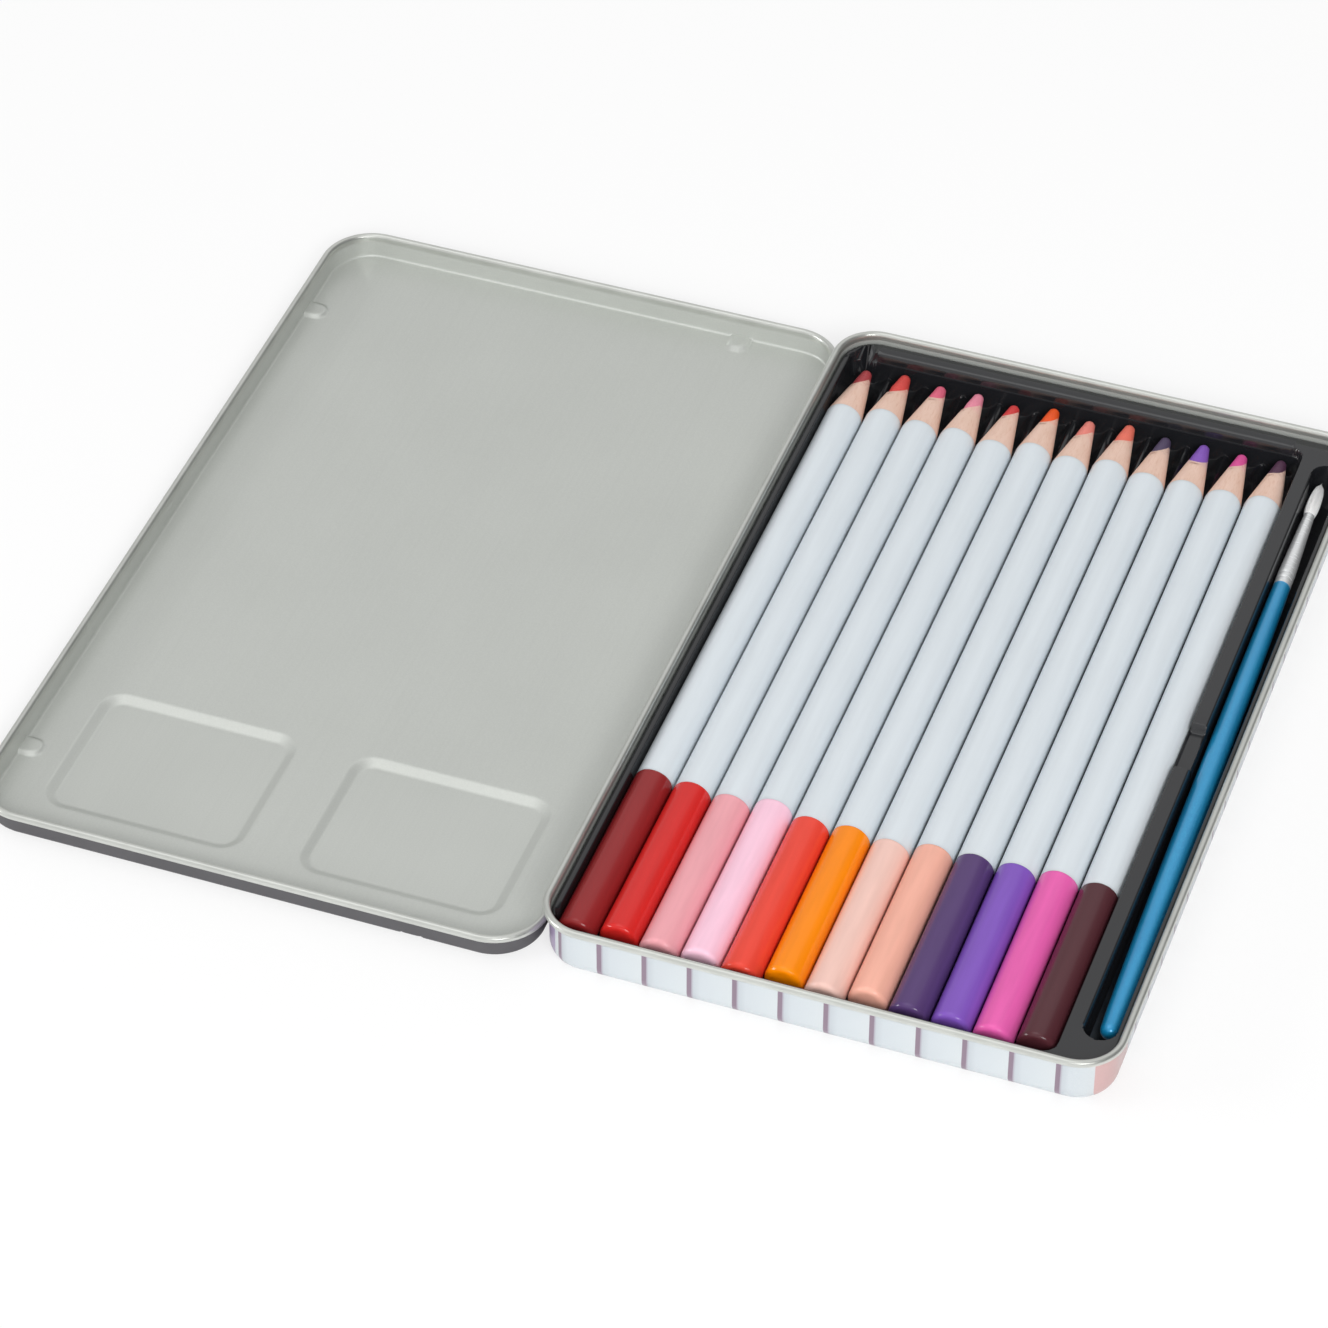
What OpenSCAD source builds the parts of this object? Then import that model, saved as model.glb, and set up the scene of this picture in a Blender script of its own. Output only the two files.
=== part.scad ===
// Colored pencil tin: a hinged tinplate box that holds twelve round colored pencils
// and a paint brush in a thermoformed insert. The lid lies open flat beside the tray.
// The contents set the insert's size, the insert sets the tray's, and the tray the lid's.
// The origin is the centre of the tray's underside. +X points away from the lid,
// +Y points from the pencils' blunt ends to their tips, and +Z is up.

/* [Pencils] */
// Diameter of a pencil
pencil_d = 7.7; // [7:0.05:9]
// Gap between neighbouring pencils
pencil_space = 0.3; // [0.2:0.05:0.6]
// Length of a pencil
pencil_l = 172.9; // [150:0.1:200]
// Farthest that a pencil lies shifted along its groove
pencil_slide = 1; // [0:0.1:1.2]
// Distance from the bay's near wall to a pencil in mid place
pencil_gap = 1.9; // [1.4:0.1:3]
// Distance from the tip of a pencil in mid place to the bay's far wall
tip_gap = 1.8; // [1.4:0.1:3]
// Length of the sharpened cone
cone_l = 15.7; // [12:0.1:20]
// Diameter of the coloured core
core_d = 3.8; // [3:0.1:4.4]
// Diameter of the rounded tip
tip_d = 1.9; // [1.2:0.1:2.4]
// Gap between the core and its groove in the wood
core_glue = 0.03; // [0.02:0.01:0.06]
// Wood that closes the blunt end behind the core
plug_l = 1.4; // [1.2:0.1:3]
// Length of the dipped end
dip_l = 41.1; // [20:0.1:60]
// Farthest that a dipped end is longer or shorter
dip_spread = 1.6; // [0:0.1:3]
// Thickness of the dipped coat over the barrel's lacquer
dip_t = 0.04; // [0.02:0.01:0.1]
// Radius round the blunt end
end_r = 1.1; // [0.5:0.1:1.6]

/* [Brush] */
// Length of the brush
brush_l = 161.8; // [120:0.1:190]
// Distance from the slot's near end to the brush
brush_gap = 4.3; // [3.4:0.1:6]
// Distance from the brush's point to the slot's far end
point_gap = 1.9; // [1.5:0.1:4]
// Angle by which the brush lies askew in its slot, in degrees
brush_yaw = 0.8; // [0:0.1:0.8]
// Largest diameter of the handle
handle_d = 4.7; // [4.2:0.1:6]
// Diameter of the handle's round end
handle_end_d = 3.8; // [3:0.1:4]
// Diameter of the handle at the ferrule
handle_neck_d = 3.5; // [3:0.1:3.8]
// Length of the handle's tang inside the ferrule
tang_l = 8; // [5:0.5:10]
// Length of the ferrule
ferrule_l = 22.6; // [18:0.1:28]
// Length of the ferrule's straight part
ferrule_straight = 9; // [6:0.5:12]
// Thickness of the ferrule's wall
ferrule_t = 0.15; // [0.1:0.01:0.2]
// Diameter of the ferrule at the hair
ferrule_mouth_d = 2.5; // [2:0.1:3]
// Width of a crimped ring in the ferrule
crimp_w = 1; // [0.6:0.1:1.4]
// Depth of a crimped ring
crimp_depth = 0.12; // [0.05:0.01:0.2]
// Distance between the crimped rings
crimp_step = 1.6; // [1.2:0.1:2.5]
// Length of the hair outside the ferrule
hair_l = 10.6; // [8:0.1:14]
// Length of the hair's root inside the ferrule
hair_root = 6; // [3:0.5:8]
// Largest diameter of the hair
hair_d = 2.8; // [2.6:0.1:3.4]

/* [Insert] */
// Thickness of the insert's sheet
sheet_t = 0.5; // [0.3:0.05:0.6]
// Gap between the insert's skirt and the tray's wall
insert_play = 0.2; // [0.15:0.05:0.4]
// Gap between the insert's skirt and the radius at the tray's floor
skirt_gap = 0.2; // [0.1:0.05:0.4]
// Height of the groove bottoms' underside over the tray's floor
groove_lift = 1.9; // [0.5:0.1:3]
// Height of the ridges between the grooves over the groove bottoms
ridge_h = 2.2; // [1:0.1:3]
// Gap between a pencil and its groove
groove_play = 0.25; // [0.2:0.05:0.3]
// Gap between the outer grooves and the bay's side walls
bay_play = 0.05; // [0:0.05:0.5]
// Corner radius of the pencil bay
bay_corner = 2.9; // [1:0.1:3]
// Width of the ledge in the bay's far wall
ledge_w = 0.6; // [0.3:0.05:1.2]
// Height of the ledge under the deck
ledge_drop = 2; // [1:0.1:3]
// Width of the deck along the hinge side
flange_hinge = 1.45; // [1.2:0.05:3]
// Width of the deck at the blunt ends
flange_near = 1.5; // [1.2:0.1:4]
// Width of the deck at the tips
flange_far = 3.3; // [1.2:0.1:6]
// Width of the deck in front of the brush slot
flange_front = 0.95; // [0.95:0.05:3]
// Width of the land between the bay and the brush slot
land_w = 2.9; // [1.6:0.1:6]
// How much wider the brush slot is than the brush
slot_play = 1.7; // [1.7:0.1:4]
// Depth of the brush slot under the deck
slot_depth = 5.9; // [5:0.1:6.5]
// Gap under the brush
slot_lift = 0.15; // [0.1:0.05:0.3]
// Distance of the brush slot's near end from the insert's near edge
slot_near = 7.4; // [3:0.1:12]
// Least width of the deck beyond the brush slot
slot_far = 3; // [1.2:0.1:8]
// Length of the finger scoop in the land
scoop_l = 13; // [8:0.5:20]
// Depth of the finger scoop under the deck
scoop_depth = 1.8; // [0.8:0.1:3]
// Corner radius of the finger scoop
scoop_corner = 1.2; // [0.5:0.1:1.4]
// Distance of the finger scoop's middle behind the middle of the tray
scoop_y = -4; // [-20:0.5:20]

/* [Tray] */
// Height of the tray
tray_h = 12.2; // [11.8:0.1:14]
// Depth of the insert's deck under the tray's rim
deck_drop = 2.2; // [1.8:0.1:2.6]
// Thickness of the tinplate
tin_t = 0.3; // [0.2:0.05:0.35]
// Diameter of the rolled rim
bead_d = 1.5; // [1.3:0.1:1.7]
// Width of the slit that the rolled rim leaves open
bead_slit = 0.2; // [0.1:0.05:0.3]
// Corner radius of the tray over its rim
tray_corner = 9; // [8:0.5:14]
// Radius between the tray's walls and its floor, outside
tray_foot = 3.5; // [1.5:0.1:4.2]

/* [Lid] */
// Gap between the tray's rim and the closed lid's walls
lid_play = 0.3; // [0.25:0.05:0.6]
// Height of the lid's walls over its panel
lid_h = 5.7; // [5:0.1:6.2]
// Radius between the lid's walls and its panel, outside
lid_foot = 1; // [0.8:0.1:2]
// Size of a paint well along the lid's width
well_w = 41.5; // [25:0.5:48]
// Size of a paint well along the lid's length
well_l = 33.5; // [20:0.5:60]
// Depth of a paint well
well_depth = 1; // [0.6:0.05:1.2]
// Width of a paint well's sloped side
well_slope = 2; // [1:0.1:3]
// Corner radius of a paint well
well_corner = 5; // [3.5:0.5:8]
// Flat strip between the two paint wells
well_gap = 11; // [4:0.5:14]
// Distance from the lid's near wall to the paint wells
well_inset = 8.5; // [5:0.5:20]
// Width of a stop dimple
dimple_w = 5; // [3:0.5:7]
// Reach of a stop dimple from the lid's wall
dimple_reach = 4.2; // [3.6:0.1:6]
// Height of a stop dimple
dimple_h = 0.6; // [0.3:0.05:0.65]
// Width of a stop dimple's sloped side
dimple_slope = 0.5; // [0.3:0.05:0.8]
// Gap between the stop dimples and the tray's rim when the lid is closed
stop_gap = 0.2; // [0.1:0.05:0.4]
// Distance of the front dimples from the middle of the lid's front wall
dimple_front = 71; // [40:1:80]
// Distance of the end dimples from the middle of the lid's end walls
dimple_end = 33.5; // [20:0.5:42]
// Diameter of the snap pip in the lid's front wall
pip_d = 2.6; // [1.6:0.1:2.8]
// Rise of the snap pip
pip_h = 0.2; // [0.1:0.05:0.2]

/* [Hinge] */
// Distance of the hinge axis outside the tray's rim
hinge_out = 0.5; // [0.4:0.05:1]
// Diameter of a hinge pin
pin_d = 0.8; // [0.6:0.05:0.9]
// Radial running clearance of a hinge pin
pin_play = 0.04; // [0.02:0.01:0.06]
// Diameter of a hinge pin's headed ends
pin_head_d = 1.3; // [1.1:0.05:1.4]
// Thickness of a hinge pin's headed ends
pin_head_l = 0.3; // [0.2:0.05:0.5]
// Thickness of a rolled knuckle's wall
knuckle_t = 0.36; // [0.25:0.01:0.4]
// Length of one of the tray's knuckles
tray_knuckle_l = 4; // [2.5:0.1:6]
// Length of the lid's knuckle
lid_knuckle_l = 5; // [3:0.1:8]
// End gap between neighbouring knuckles
knuckle_gap = 0.4; // [0.3:0.05:0.8]
// Clear space round the knuckles in the lid's edge
notch_gap = 0.7; // [0.5:0.05:1]
// Distance of each hinge from the middle of the tray's length
hinge_offset = 52.5; // [30:0.5:65]

/* [Hidden] */
$fn = 64;
// Overshoot of a cutting body past the face that it cuts
cut = tin_t;

// The dipped ends' colours, from the hinge side to the brush
dip_colors = ["#8c3a3c", "#d8322f", "#e8a3a8", "#fcc4dc", "#e0483c", "#ff8c10",
    "#f6c8bc", "#f4a88c", "#4c3c66", "#8458b8", "#ea4fac", "#4c2a30"];
// Each pencil's shift towards the far end, as a share of the farthest
shift_share = [-0.6, 0.7, -0.3, 0, -1, 0.8, -0.6, 1, -0.3, 0.1, -0.2, 0.7];
// How much longer each dipped end is, as a share of the most
dip_share = [1, -0.25, -0.05, 0.7, 0, -0.95, -0.65, -0.75, 0.2, 0.1, 0.75, -0.1];
pencil_n = len(dip_colors);

// Pencils
pencil_r = pencil_d / 2;
pencil_pitch = pencil_d + pencil_space;
barrel_r = pencil_r - dip_t;
core_r = core_d / 2;
tip_r = tip_d / 2;
cone_slope = (barrel_r - tip_r) / cone_l;
core_out = (core_r - tip_r) / cone_slope;
groove_r = pencil_r + groove_play;
groove_z = tin_t + groove_lift + sheet_t;
pencil_z = groove_z + groove_r;

// Insert: the bay and the slot are as long as their contents need
deck_z = tray_h - deck_drop;
ridge_z = groove_z + ridge_h;
ledge_z = deck_z - ledge_drop;
scoop_z = deck_z - scoop_depth;
slot_floor_z = deck_z - slot_depth;
slot_w = handle_d + slot_play;
slot_l = brush_gap + brush_l + point_gap;
groove_l = pencil_gap + pencil_l + tip_gap;
bay_w = (pencil_n - 1) * pencil_pitch + 2 * (groove_r + bay_play);
bay_l = groove_l + ledge_w;
insert_w = flange_hinge + bay_w + land_w + slot_w + flange_front;
insert_l = max(flange_near + bay_l + flange_far, slot_near + slot_l + slot_far);

// Tray
tray_w = insert_w + 2 * (bead_d + insert_play);
tray_l = insert_l + 2 * (bead_d + insert_play);
insert_corner = tray_corner - bead_d - insert_play;
// The skirt ends over the radius between the tray's walls and floor
foot_in_r = tray_foot - tin_t;
skirt_z = tray_foot - sqrt(pow(foot_in_r, 2) - pow(foot_in_r - insert_play, 2)) + skirt_gap;

// Places in the insert
bay_x = -insert_w / 2 + flange_hinge;
bay_y = -insert_l / 2 + flange_near;
slot_x = bay_x + bay_w + land_w + slot_w / 2;
slot_y = -insert_l / 2 + slot_near;
first_x = bay_x + bay_play + groove_r;
brush_y = slot_y + brush_gap;
brush_z = slot_floor_z + slot_lift + handle_d / 2;
handle_l = brush_l - ferrule_l - hair_l;

// Lid: it is larger than the tray by its bead and its play all round
lid_grow = bead_d + lid_play;
lid_w = tray_w + 2 * lid_grow;
lid_l = tray_l + 2 * lid_grow;
lid_corner = tray_corner + lid_grow;

// Hinge: the axis lies halfway between the open and the closed lid's panel
knuckle_r = pin_d / 2 + pin_play + knuckle_t;
hinge_l = lid_knuckle_l + 2 * (tray_knuckle_l + knuckle_gap);
notch_r = knuckle_r + notch_gap;
hinge_x = -tray_w / 2 - hinge_out;
hinge_z = (tray_h + stop_gap + dimple_h + well_depth + tin_t) / 2;
// The lid's middle when it lies open, turned over half a turn about the hinge
lid_x = 2 * hinge_x;

// Carries a 2D profile round a rounded rectangle. The profile's x runs outwards from
// the middle of the corner radius r, and its y becomes the height.
module round_rect_sweep(w, l, r) {
    for (k = [0:3]) {
        across = k % 2 == 0 ? w : l;
        along = k % 2 == 0 ? l : w;
        rotate([0, 0, 90 * k]) translate([across / 2 - r, along / 2 - r, 0]) {
            rotate_extrude(angle = 90) children();
            rotate([90, 0, 0]) linear_extrude(along - 2 * r) children();
        }
    }
}

// A block with a rounded-rectangle plan, centred in plan
module round_block(w, l, r, z0, z1) {
    translate([0, 0, z0]) linear_extrude(z1 - z0) union() {
        square([w - 2 * r, l], center = true);
        square([w, l - 2 * r], center = true);
        for (x = [-1, 1]) for (y = [-1, 1])
            translate([x * (w / 2 - r), y * (l / 2 - r)]) circle(r);
    }
}

// A 2D field from x = 0 to x1 and from y0 up to y1 whose lower outer corner is rounded
module footed_field(x1, y0, y1, r) {
    translate([0, y0]) square([x1 - r, y1 - y0]);
    translate([0, y0 + r]) square([x1, y1 - y0 - r]);
    translate([x1 - r, y0 + r]) circle(r);
}

// Section of a drawn tinplate wall: floor strip, radius, wall and outward rolled rim
module pan_section(r, h, foot) {
    wall_x = r - bead_d + tin_t;
    bead_r = bead_d / 2;
    difference() {
        footed_field(wall_x, 0, h - bead_r, foot);
        footed_field(wall_x - tin_t, tin_t, h + cut, foot - tin_t);
    }
    translate([r - bead_r, h - bead_r]) difference() {
        circle(bead_r);
        circle(bead_r - tin_t);
        translate([tin_t - bead_r, -bead_r]) square([bead_slit, bead_r]);
    }
}

// A drawn tinplate pan with its floor's underside at z = 0
module pan(w, l, r, h, foot) {
    round_rect_sweep(w, l, r) pan_section(r, h, foot);
    translate([r - w / 2, r - l / 2, 0]) cube([w - 2 * r, l - 2 * r, tin_t]);
}

// A cylinder along Y, centred on a hinge's middle
module barrel_y(r, length) {
    rotate([90, 0, 0]) cylinder(r = r, h = length, center = true);
}

// One rolled knuckle round the hinge axis, with its tongue reaching from x0 to x1 and z0 to z1
module knuckle(length, x0, x1, z0, z1) {
    difference() {
        union() {
            barrel_y(knuckle_r, length);
            translate([x0, -length / 2, z0]) cube([x1 - x0, length, z1 - z0]);
        }
        barrel_y(pin_d / 2 + pin_play, length + 2 * cut);
    }
}

module at_hinges() {
    for (s = [-1, 1]) translate([hinge_x, s * hinge_offset, hinge_z]) children();
}

// Tray: a drawn pan whose hinge-side wall carries two pairs of rolled knuckles
module tray_shell() {
    wall_x = hinge_out + bead_d - tin_t;
    color("#dfe6e9") {
        pan(tray_w, tray_l, tray_corner, tray_h, tray_foot);
        at_hinges() for (s = [-1, 1])
            translate([0, s * (lid_knuckle_l / 2 + knuckle_gap + tray_knuckle_l / 2), 0])
                knuckle(tray_knuckle_l, 0, wall_x + tin_t / 2, -knuckle_r, tin_t - knuckle_r);
    }
}

// The hollow or the underside of a paint well: a sloped, rounded pan from z1 down to z0
module well_body(w, l, z0, z1) {
    round_rect_sweep(w, l, well_corner)
        polygon([[0, z0], [well_corner - well_slope, z0], [well_corner, z1], [0, z1]]);
    translate([well_corner - w / 2, well_corner - l / 2, z0])
        cube([w - 2 * well_corner, l - 2 * well_corner, z1 - z0]);
}

module at_wells() {
    near_wall = bead_d + well_inset;
    for (s = [-1, 1])
        translate([s * (well_w + well_gap) / 2, near_wall + well_l / 2 - lid_l / 2, 0]) children();
}

// A stop dimple: a round-nosed step that grows out of a wall, with the wall's inner face at x = 0
module dimple_body(grow, z0, z1) {
    r = dimple_w / 2 + grow;
    nose = dimple_reach - dimple_w / 2;
    top_r = r - dimple_slope;
    translate([nose, 0, z0]) cylinder(r1 = r, r2 = top_r, h = z1 - z0);
    rotate([90, 0, 90]) linear_extrude(nose)
        polygon([[-r, z0], [r, z0], [top_r, z1], [-top_r, z1]]);
}

// Two dimples stand at the front wall, and one at each end wall near the hinge
module at_dimples() {
    side = lid_w / 2 - bead_d;
    end = lid_l / 2 - bead_d;
    for (s = [-1, 1]) {
        translate([-side, s * dimple_front, 0]) children();
        translate([dimple_end, s * end, 0]) rotate([0, 0, -90 * s]) children();
    }
}

// A shallow round pip that rises along +X from x = 0, with its foot before that
module pip(foot) {
    rotate([0, 90, 0]) {
        translate([0, 0, -foot]) cylinder(d = pip_d, h = foot);
        cylinder(d1 = pip_d, d2 = pip_d / 2, h = pip_h);
    }
}

// Lid: a shallow pan with two paint wells, four stop dimples, a snap pip and two
// rolled knuckles. It is drawn lying open, with its inside up.
module lid_shell() {
    floor_z = well_depth + tin_t;
    pip_at = [bead_d - lid_w / 2, 0, floor_z + lid_h / 2];
    // The hinge-side wall's inner face, seen from the hinge axis
    wall_in_x = lid_play - hinge_out;
    color("#b9bcb6") {
        difference() {
            translate([lid_x, 0, 0]) union() {
                translate([0, 0, well_depth]) pan(lid_w, lid_l, lid_corner, lid_h, lid_foot);
                at_wells() well_body(well_w + tin_t, well_l + tin_t, 0, floor_z);
                at_dimples() dimple_body(0, floor_z - tin_t / 2, floor_z + dimple_h);
                translate(pip_at) pip(tin_t / 2);
            }
            translate([lid_x, 0, 0]) {
                at_wells() well_body(well_w - tin_t, well_l - tin_t, tin_t, floor_z + tin_t);
                at_dimples() dimple_body(-tin_t, well_depth - cut, well_depth + dimple_h);
                translate(pip_at - [tin_t, 0, 0]) pip(tin_t / 2);
            }
            at_hinges() translate([wall_in_x - cut, -hinge_l / 2 - knuckle_gap, -notch_r])
                cube([bead_d + 2 * cut, hinge_l + 2 * knuckle_gap, 2 * notch_r]);
        }
        at_hinges() knuckle(lid_knuckle_l, wall_in_x, wall_in_x + tin_t, -notch_r - cut / 2, 0);
    }
}

// A hinge pin with both ends headed outside the tray's knuckles
module hinge_pin(side) {
    head_y = hinge_l / 2 + pin_play + pin_head_l / 2;
    color("#9a9ea2") translate([hinge_x, side * hinge_offset, hinge_z]) {
        barrel_y(pin_d / 2, 2 * head_y);
        for (s = [-1, 1]) translate([0, s * head_y, 0]) barrel_y(pin_head_d / 2, pin_head_l);
    }
}

// Section of the grooved floor with its ridges: everything above the sheet's underside
module groove_section() {
    low_z = groove_z - sheet_t;
    difference() {
        translate([bay_x - sheet_t, low_z]) square([bay_w + 2 * sheet_t, ridge_z - low_z]);
        difference() {
            translate([bay_x - sheet_t - cut, low_z - cut])
                square([bay_w + 2 * (sheet_t + cut), ridge_z - low_z - sheet_t + cut]);
            for (i = [0:pencil_n - 1])
                translate([first_x + i * pencil_pitch, pencil_z]) circle(groove_r + sheet_t);
        }
    }
}

// The pencil bay's plan from z0 to z1. It is cut short at the far end, and it grows by
// the sheet for the outside of its walls.
module bay_body(grow, z0, z1, short = 0) {
    l = bay_l - short;
    translate([bay_x + bay_w / 2, bay_y + l / 2, 0])
        round_block(bay_w + 2 * grow, l + 2 * grow, bay_corner + grow, z0, z1);
}

module slot_body(grow, z0, z1) {
    translate([slot_x, slot_y + slot_l / 2, 0])
        round_block(slot_w + 2 * grow, slot_l + 2 * grow, slot_w / 2 + grow - tin_t / 10, z0, z1);
}

// The finger scoop joins the bay to the slot through the land
module scoop_body(grow, z0, z1) {
    translate([bay_x + bay_w + land_w / 2, scoop_y, 0])
        round_block(land_w + 4 * sheet_t, scoop_l + 2 * grow, scoop_corner + grow, z0, z1);
}

// The outside of the grooved floor, closed at both ends of the grooves
module groove_outside() {
    intersection() {
        translate([0, bay_y + groove_l + sheet_t, 0]) rotate([90, 0, 0])
            linear_extrude(groove_l + 2 * sheet_t) groove_section();
        bay_body(sheet_t, groove_z - sheet_t, ridge_z, ledge_w);
    }
}

// The round grooves, cut to the bay's plan
module groove_inside() {
    intersection() {
        for (i = [0:pencil_n - 1]) translate([first_x + i * pencil_pitch, bay_y - cut, pencil_z])
            rotate([-90, 0, 0]) cylinder(r = groove_r, h = groove_l + 2 * cut);
        bay_body(0, groove_z - cut, ridge_z + cut, ledge_w);
    }
}

// Insert: one thermoformed sheet with a deck, a skirt, a grooved bay, a brush slot and a scoop
module insert_tray() {
    color("#3c3d40") difference() {
        intersection() {
            union() {
                difference() {
                    round_block(insert_w, insert_l, insert_corner, skirt_z, deck_z);
                    round_block(insert_w - 2 * sheet_t, insert_l - 2 * sheet_t,
                        insert_corner - sheet_t, skirt_z - cut, deck_z - sheet_t);
                }
                bay_body(sheet_t, ledge_z - sheet_t, deck_z);
                bay_body(sheet_t, ridge_z - sheet_t, ledge_z, ledge_w);
                groove_outside();
                slot_body(sheet_t, slot_floor_z - sheet_t, deck_z);
                scoop_body(sheet_t, scoop_z - sheet_t, deck_z);
            }
            round_block(insert_w, insert_l, insert_corner, 0, deck_z);
        }
        bay_body(0, ridge_z, deck_z + cut, ledge_w);
        bay_body(0, ledge_z, deck_z + cut);
        groove_inside();
        slot_body(0, slot_floor_z, deck_z + cut);
        scoop_body(0, scoop_z, deck_z + cut);
    }
}

// Stands a body of revolution about Z on its pencil's place, pointing along +Y
module at_pencil(i) {
    shift = pencil_slide * shift_share[i];
    translate([first_x + i * pencil_pitch, bay_y + pencil_gap + shift, pencil_z])
        rotate([-90, 0, 0]) children();
}

// Wooden casing: a round barrel with a dipped, rounded blunt end and a sharpened cone
module pencil_casing(i) {
    dip = dip_l + dip_spread * dip_share[i];
    bore_r = core_r + core_glue;
    bore_end = pencil_l - core_out;
    at_pencil(i) difference() {
        union() {
            color(dip_colors[i]) rotate_extrude() {
                translate([0, end_r]) square([pencil_r, dip - end_r]);
                square([pencil_r - end_r, dip]);
                translate([pencil_r - end_r, end_r]) circle(end_r);
            }
            color("#dde1e6") translate([0, 0, dip - cut])
                cylinder(r = barrel_r, h = pencil_l - cone_l - dip + cut);
            color("#e3c19c") translate([0, 0, pencil_l - cone_l])
                cylinder(r1 = barrel_r, r2 = bore_r, h = cone_l - core_out);
        }
        translate([0, 0, plug_l]) cylinder(r = bore_r, h = bore_end - plug_l + cut);
    }
}

// Coloured core: a rod through the casing with a rounded cone beyond the wood
module pencil_core(i) {
    nose = tip_r * 0.7;
    color(dip_colors[i]) at_pencil(i) rotate_extrude() polygon([
        [0, plug_l + core_glue], [core_r, plug_l + core_glue], [core_r, pencil_l - core_out],
        [tip_r, pencil_l - nose], [tip_r * 0.75, pencil_l - nose * 0.35],
        [tip_r * 0.4, pencil_l - nose * 0.08], [0, pencil_l]]);
}

// Lays the brush down in its slot, turned a little about the middle of its length
module at_brush() {
    translate([slot_x, brush_y + brush_l / 2, brush_z]) rotate([0, 0, brush_yaw])
        translate([0, -brush_l / 2, 0]) rotate([-90, 0, 0]) children();
}

// Radius of the handle at the share u of its length: a round end, a belly and a neck
function handle_r(u) =
    let (bell = sin(180 * pow(u, 0.8)))
    (handle_end_d * (1 - u) + handle_neck_d * u) / 2
        + (handle_d - (handle_end_d + handle_neck_d) / 2) / 2 * bell;

// Brush handle: turned and lacquered wood with a round end and a tang inside the ferrule
module brush_handle() {
    r0 = handle_end_d / 2;
    steps = 24;
    // The tang fits inside the ferrule's crimped rings
    tang_r = handle_neck_d / 2 - ferrule_t - crimp_depth - core_glue;
    color("#2f88b8") at_brush() {
        rotate_extrude() polygon(concat(
            [[0, 0]],
            [for (a = [15:15:75]) [r0 * sin(a), r0 * (1 - cos(a))]],
            [for (k = [0:steps]) let (u = k / steps) [handle_r(u), r0 + u * (handle_l - r0)]],
            [[0, handle_l]]));
        translate([0, 0, handle_l - cut]) cylinder(r = tang_r, h = tang_l + cut);
    }
}

// Ferrule: a thin seamless tube that narrows to the hair, with two crimped rings
module brush_ferrule() {
    r0 = handle_neck_d / 2;
    r1 = ferrule_mouth_d / 2;
    half = crimp_w / 2;
    color("#c9ccce") at_brush() translate([0, 0, handle_l]) rotate_extrude() polygon(concat(
        [[r0 - ferrule_t - crimp_depth, 0], [r0, 0]],
        [for (k = [1:2]) for (p = [[0, -1], [-1, -0.4], [-1, 0.4], [0, 1]])
            [r0 + p[0] * crimp_depth, k * crimp_step + p[1] * half]],
        [[r0, ferrule_straight], [r1, ferrule_l], [r1 - ferrule_t, ferrule_l],
            [r0 - ferrule_t - crimp_depth, ferrule_straight]]));
}

// Hair: a pointed tuft that swells out of the ferrule's mouth
module brush_hair() {
    root_r = ferrule_mouth_d / 2 - ferrule_t - core_glue;
    belly = hair_d / 2;
    color("#f3f2ee") at_brush() translate([0, 0, handle_l + ferrule_l]) rotate_extrude() polygon(concat(
        [[0, -hair_root], [root_r, -hair_root]],
        [for (k = [0:12]) let (u = k / 12)
            [u < 0.35 ? root_r + (belly - root_r) * sin(90 * u / 0.35)
                : belly * pow(cos(90 * (u - 0.35) / 0.65), 0.8), hair_l * u]]));
}

tray_shell();
lid_shell();
hinge_pin(-1);  // hinge_pin_near
hinge_pin(1);  // hinge_pin_far
insert_tray();
brush_handle();
brush_ferrule();
brush_hair();
pencil_casing(0);  // pencil_01_casing
pencil_core(0);  // pencil_01_core
pencil_casing(1);  // pencil_02_casing
pencil_core(1);  // pencil_02_core
pencil_casing(2);  // pencil_03_casing
pencil_core(2);  // pencil_03_core
pencil_casing(3);  // pencil_04_casing
pencil_core(3);  // pencil_04_core
pencil_casing(4);  // pencil_05_casing
pencil_core(4);  // pencil_05_core
pencil_casing(5);  // pencil_06_casing
pencil_core(5);  // pencil_06_core
pencil_casing(6);  // pencil_07_casing
pencil_core(6);  // pencil_07_core
pencil_casing(7);  // pencil_08_casing
pencil_core(7);  // pencil_08_core
pencil_casing(8);  // pencil_09_casing
pencil_core(8);  // pencil_09_core
pencil_casing(9);  // pencil_10_casing
pencil_core(9);  // pencil_10_core
pencil_casing(10);  // pencil_11_casing
pencil_core(10);  // pencil_11_core
pencil_casing(11);  // pencil_12_casing
pencil_core(11);  // pencil_12_core
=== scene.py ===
"""Colored pencil tin, dressed for rendering on its CAD frame.

Every new piece is a numpy surface in millimetres. Four kinds of surface make them all: a warped
grid with a ring round it (the pressed and formed sheets), a turned profile (pencils and brush),
a bent strip (the hinge knuckles) and tapered filaments (the brush's hair). Materials are node
trees on Object coordinates or UVs.
"""

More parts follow.
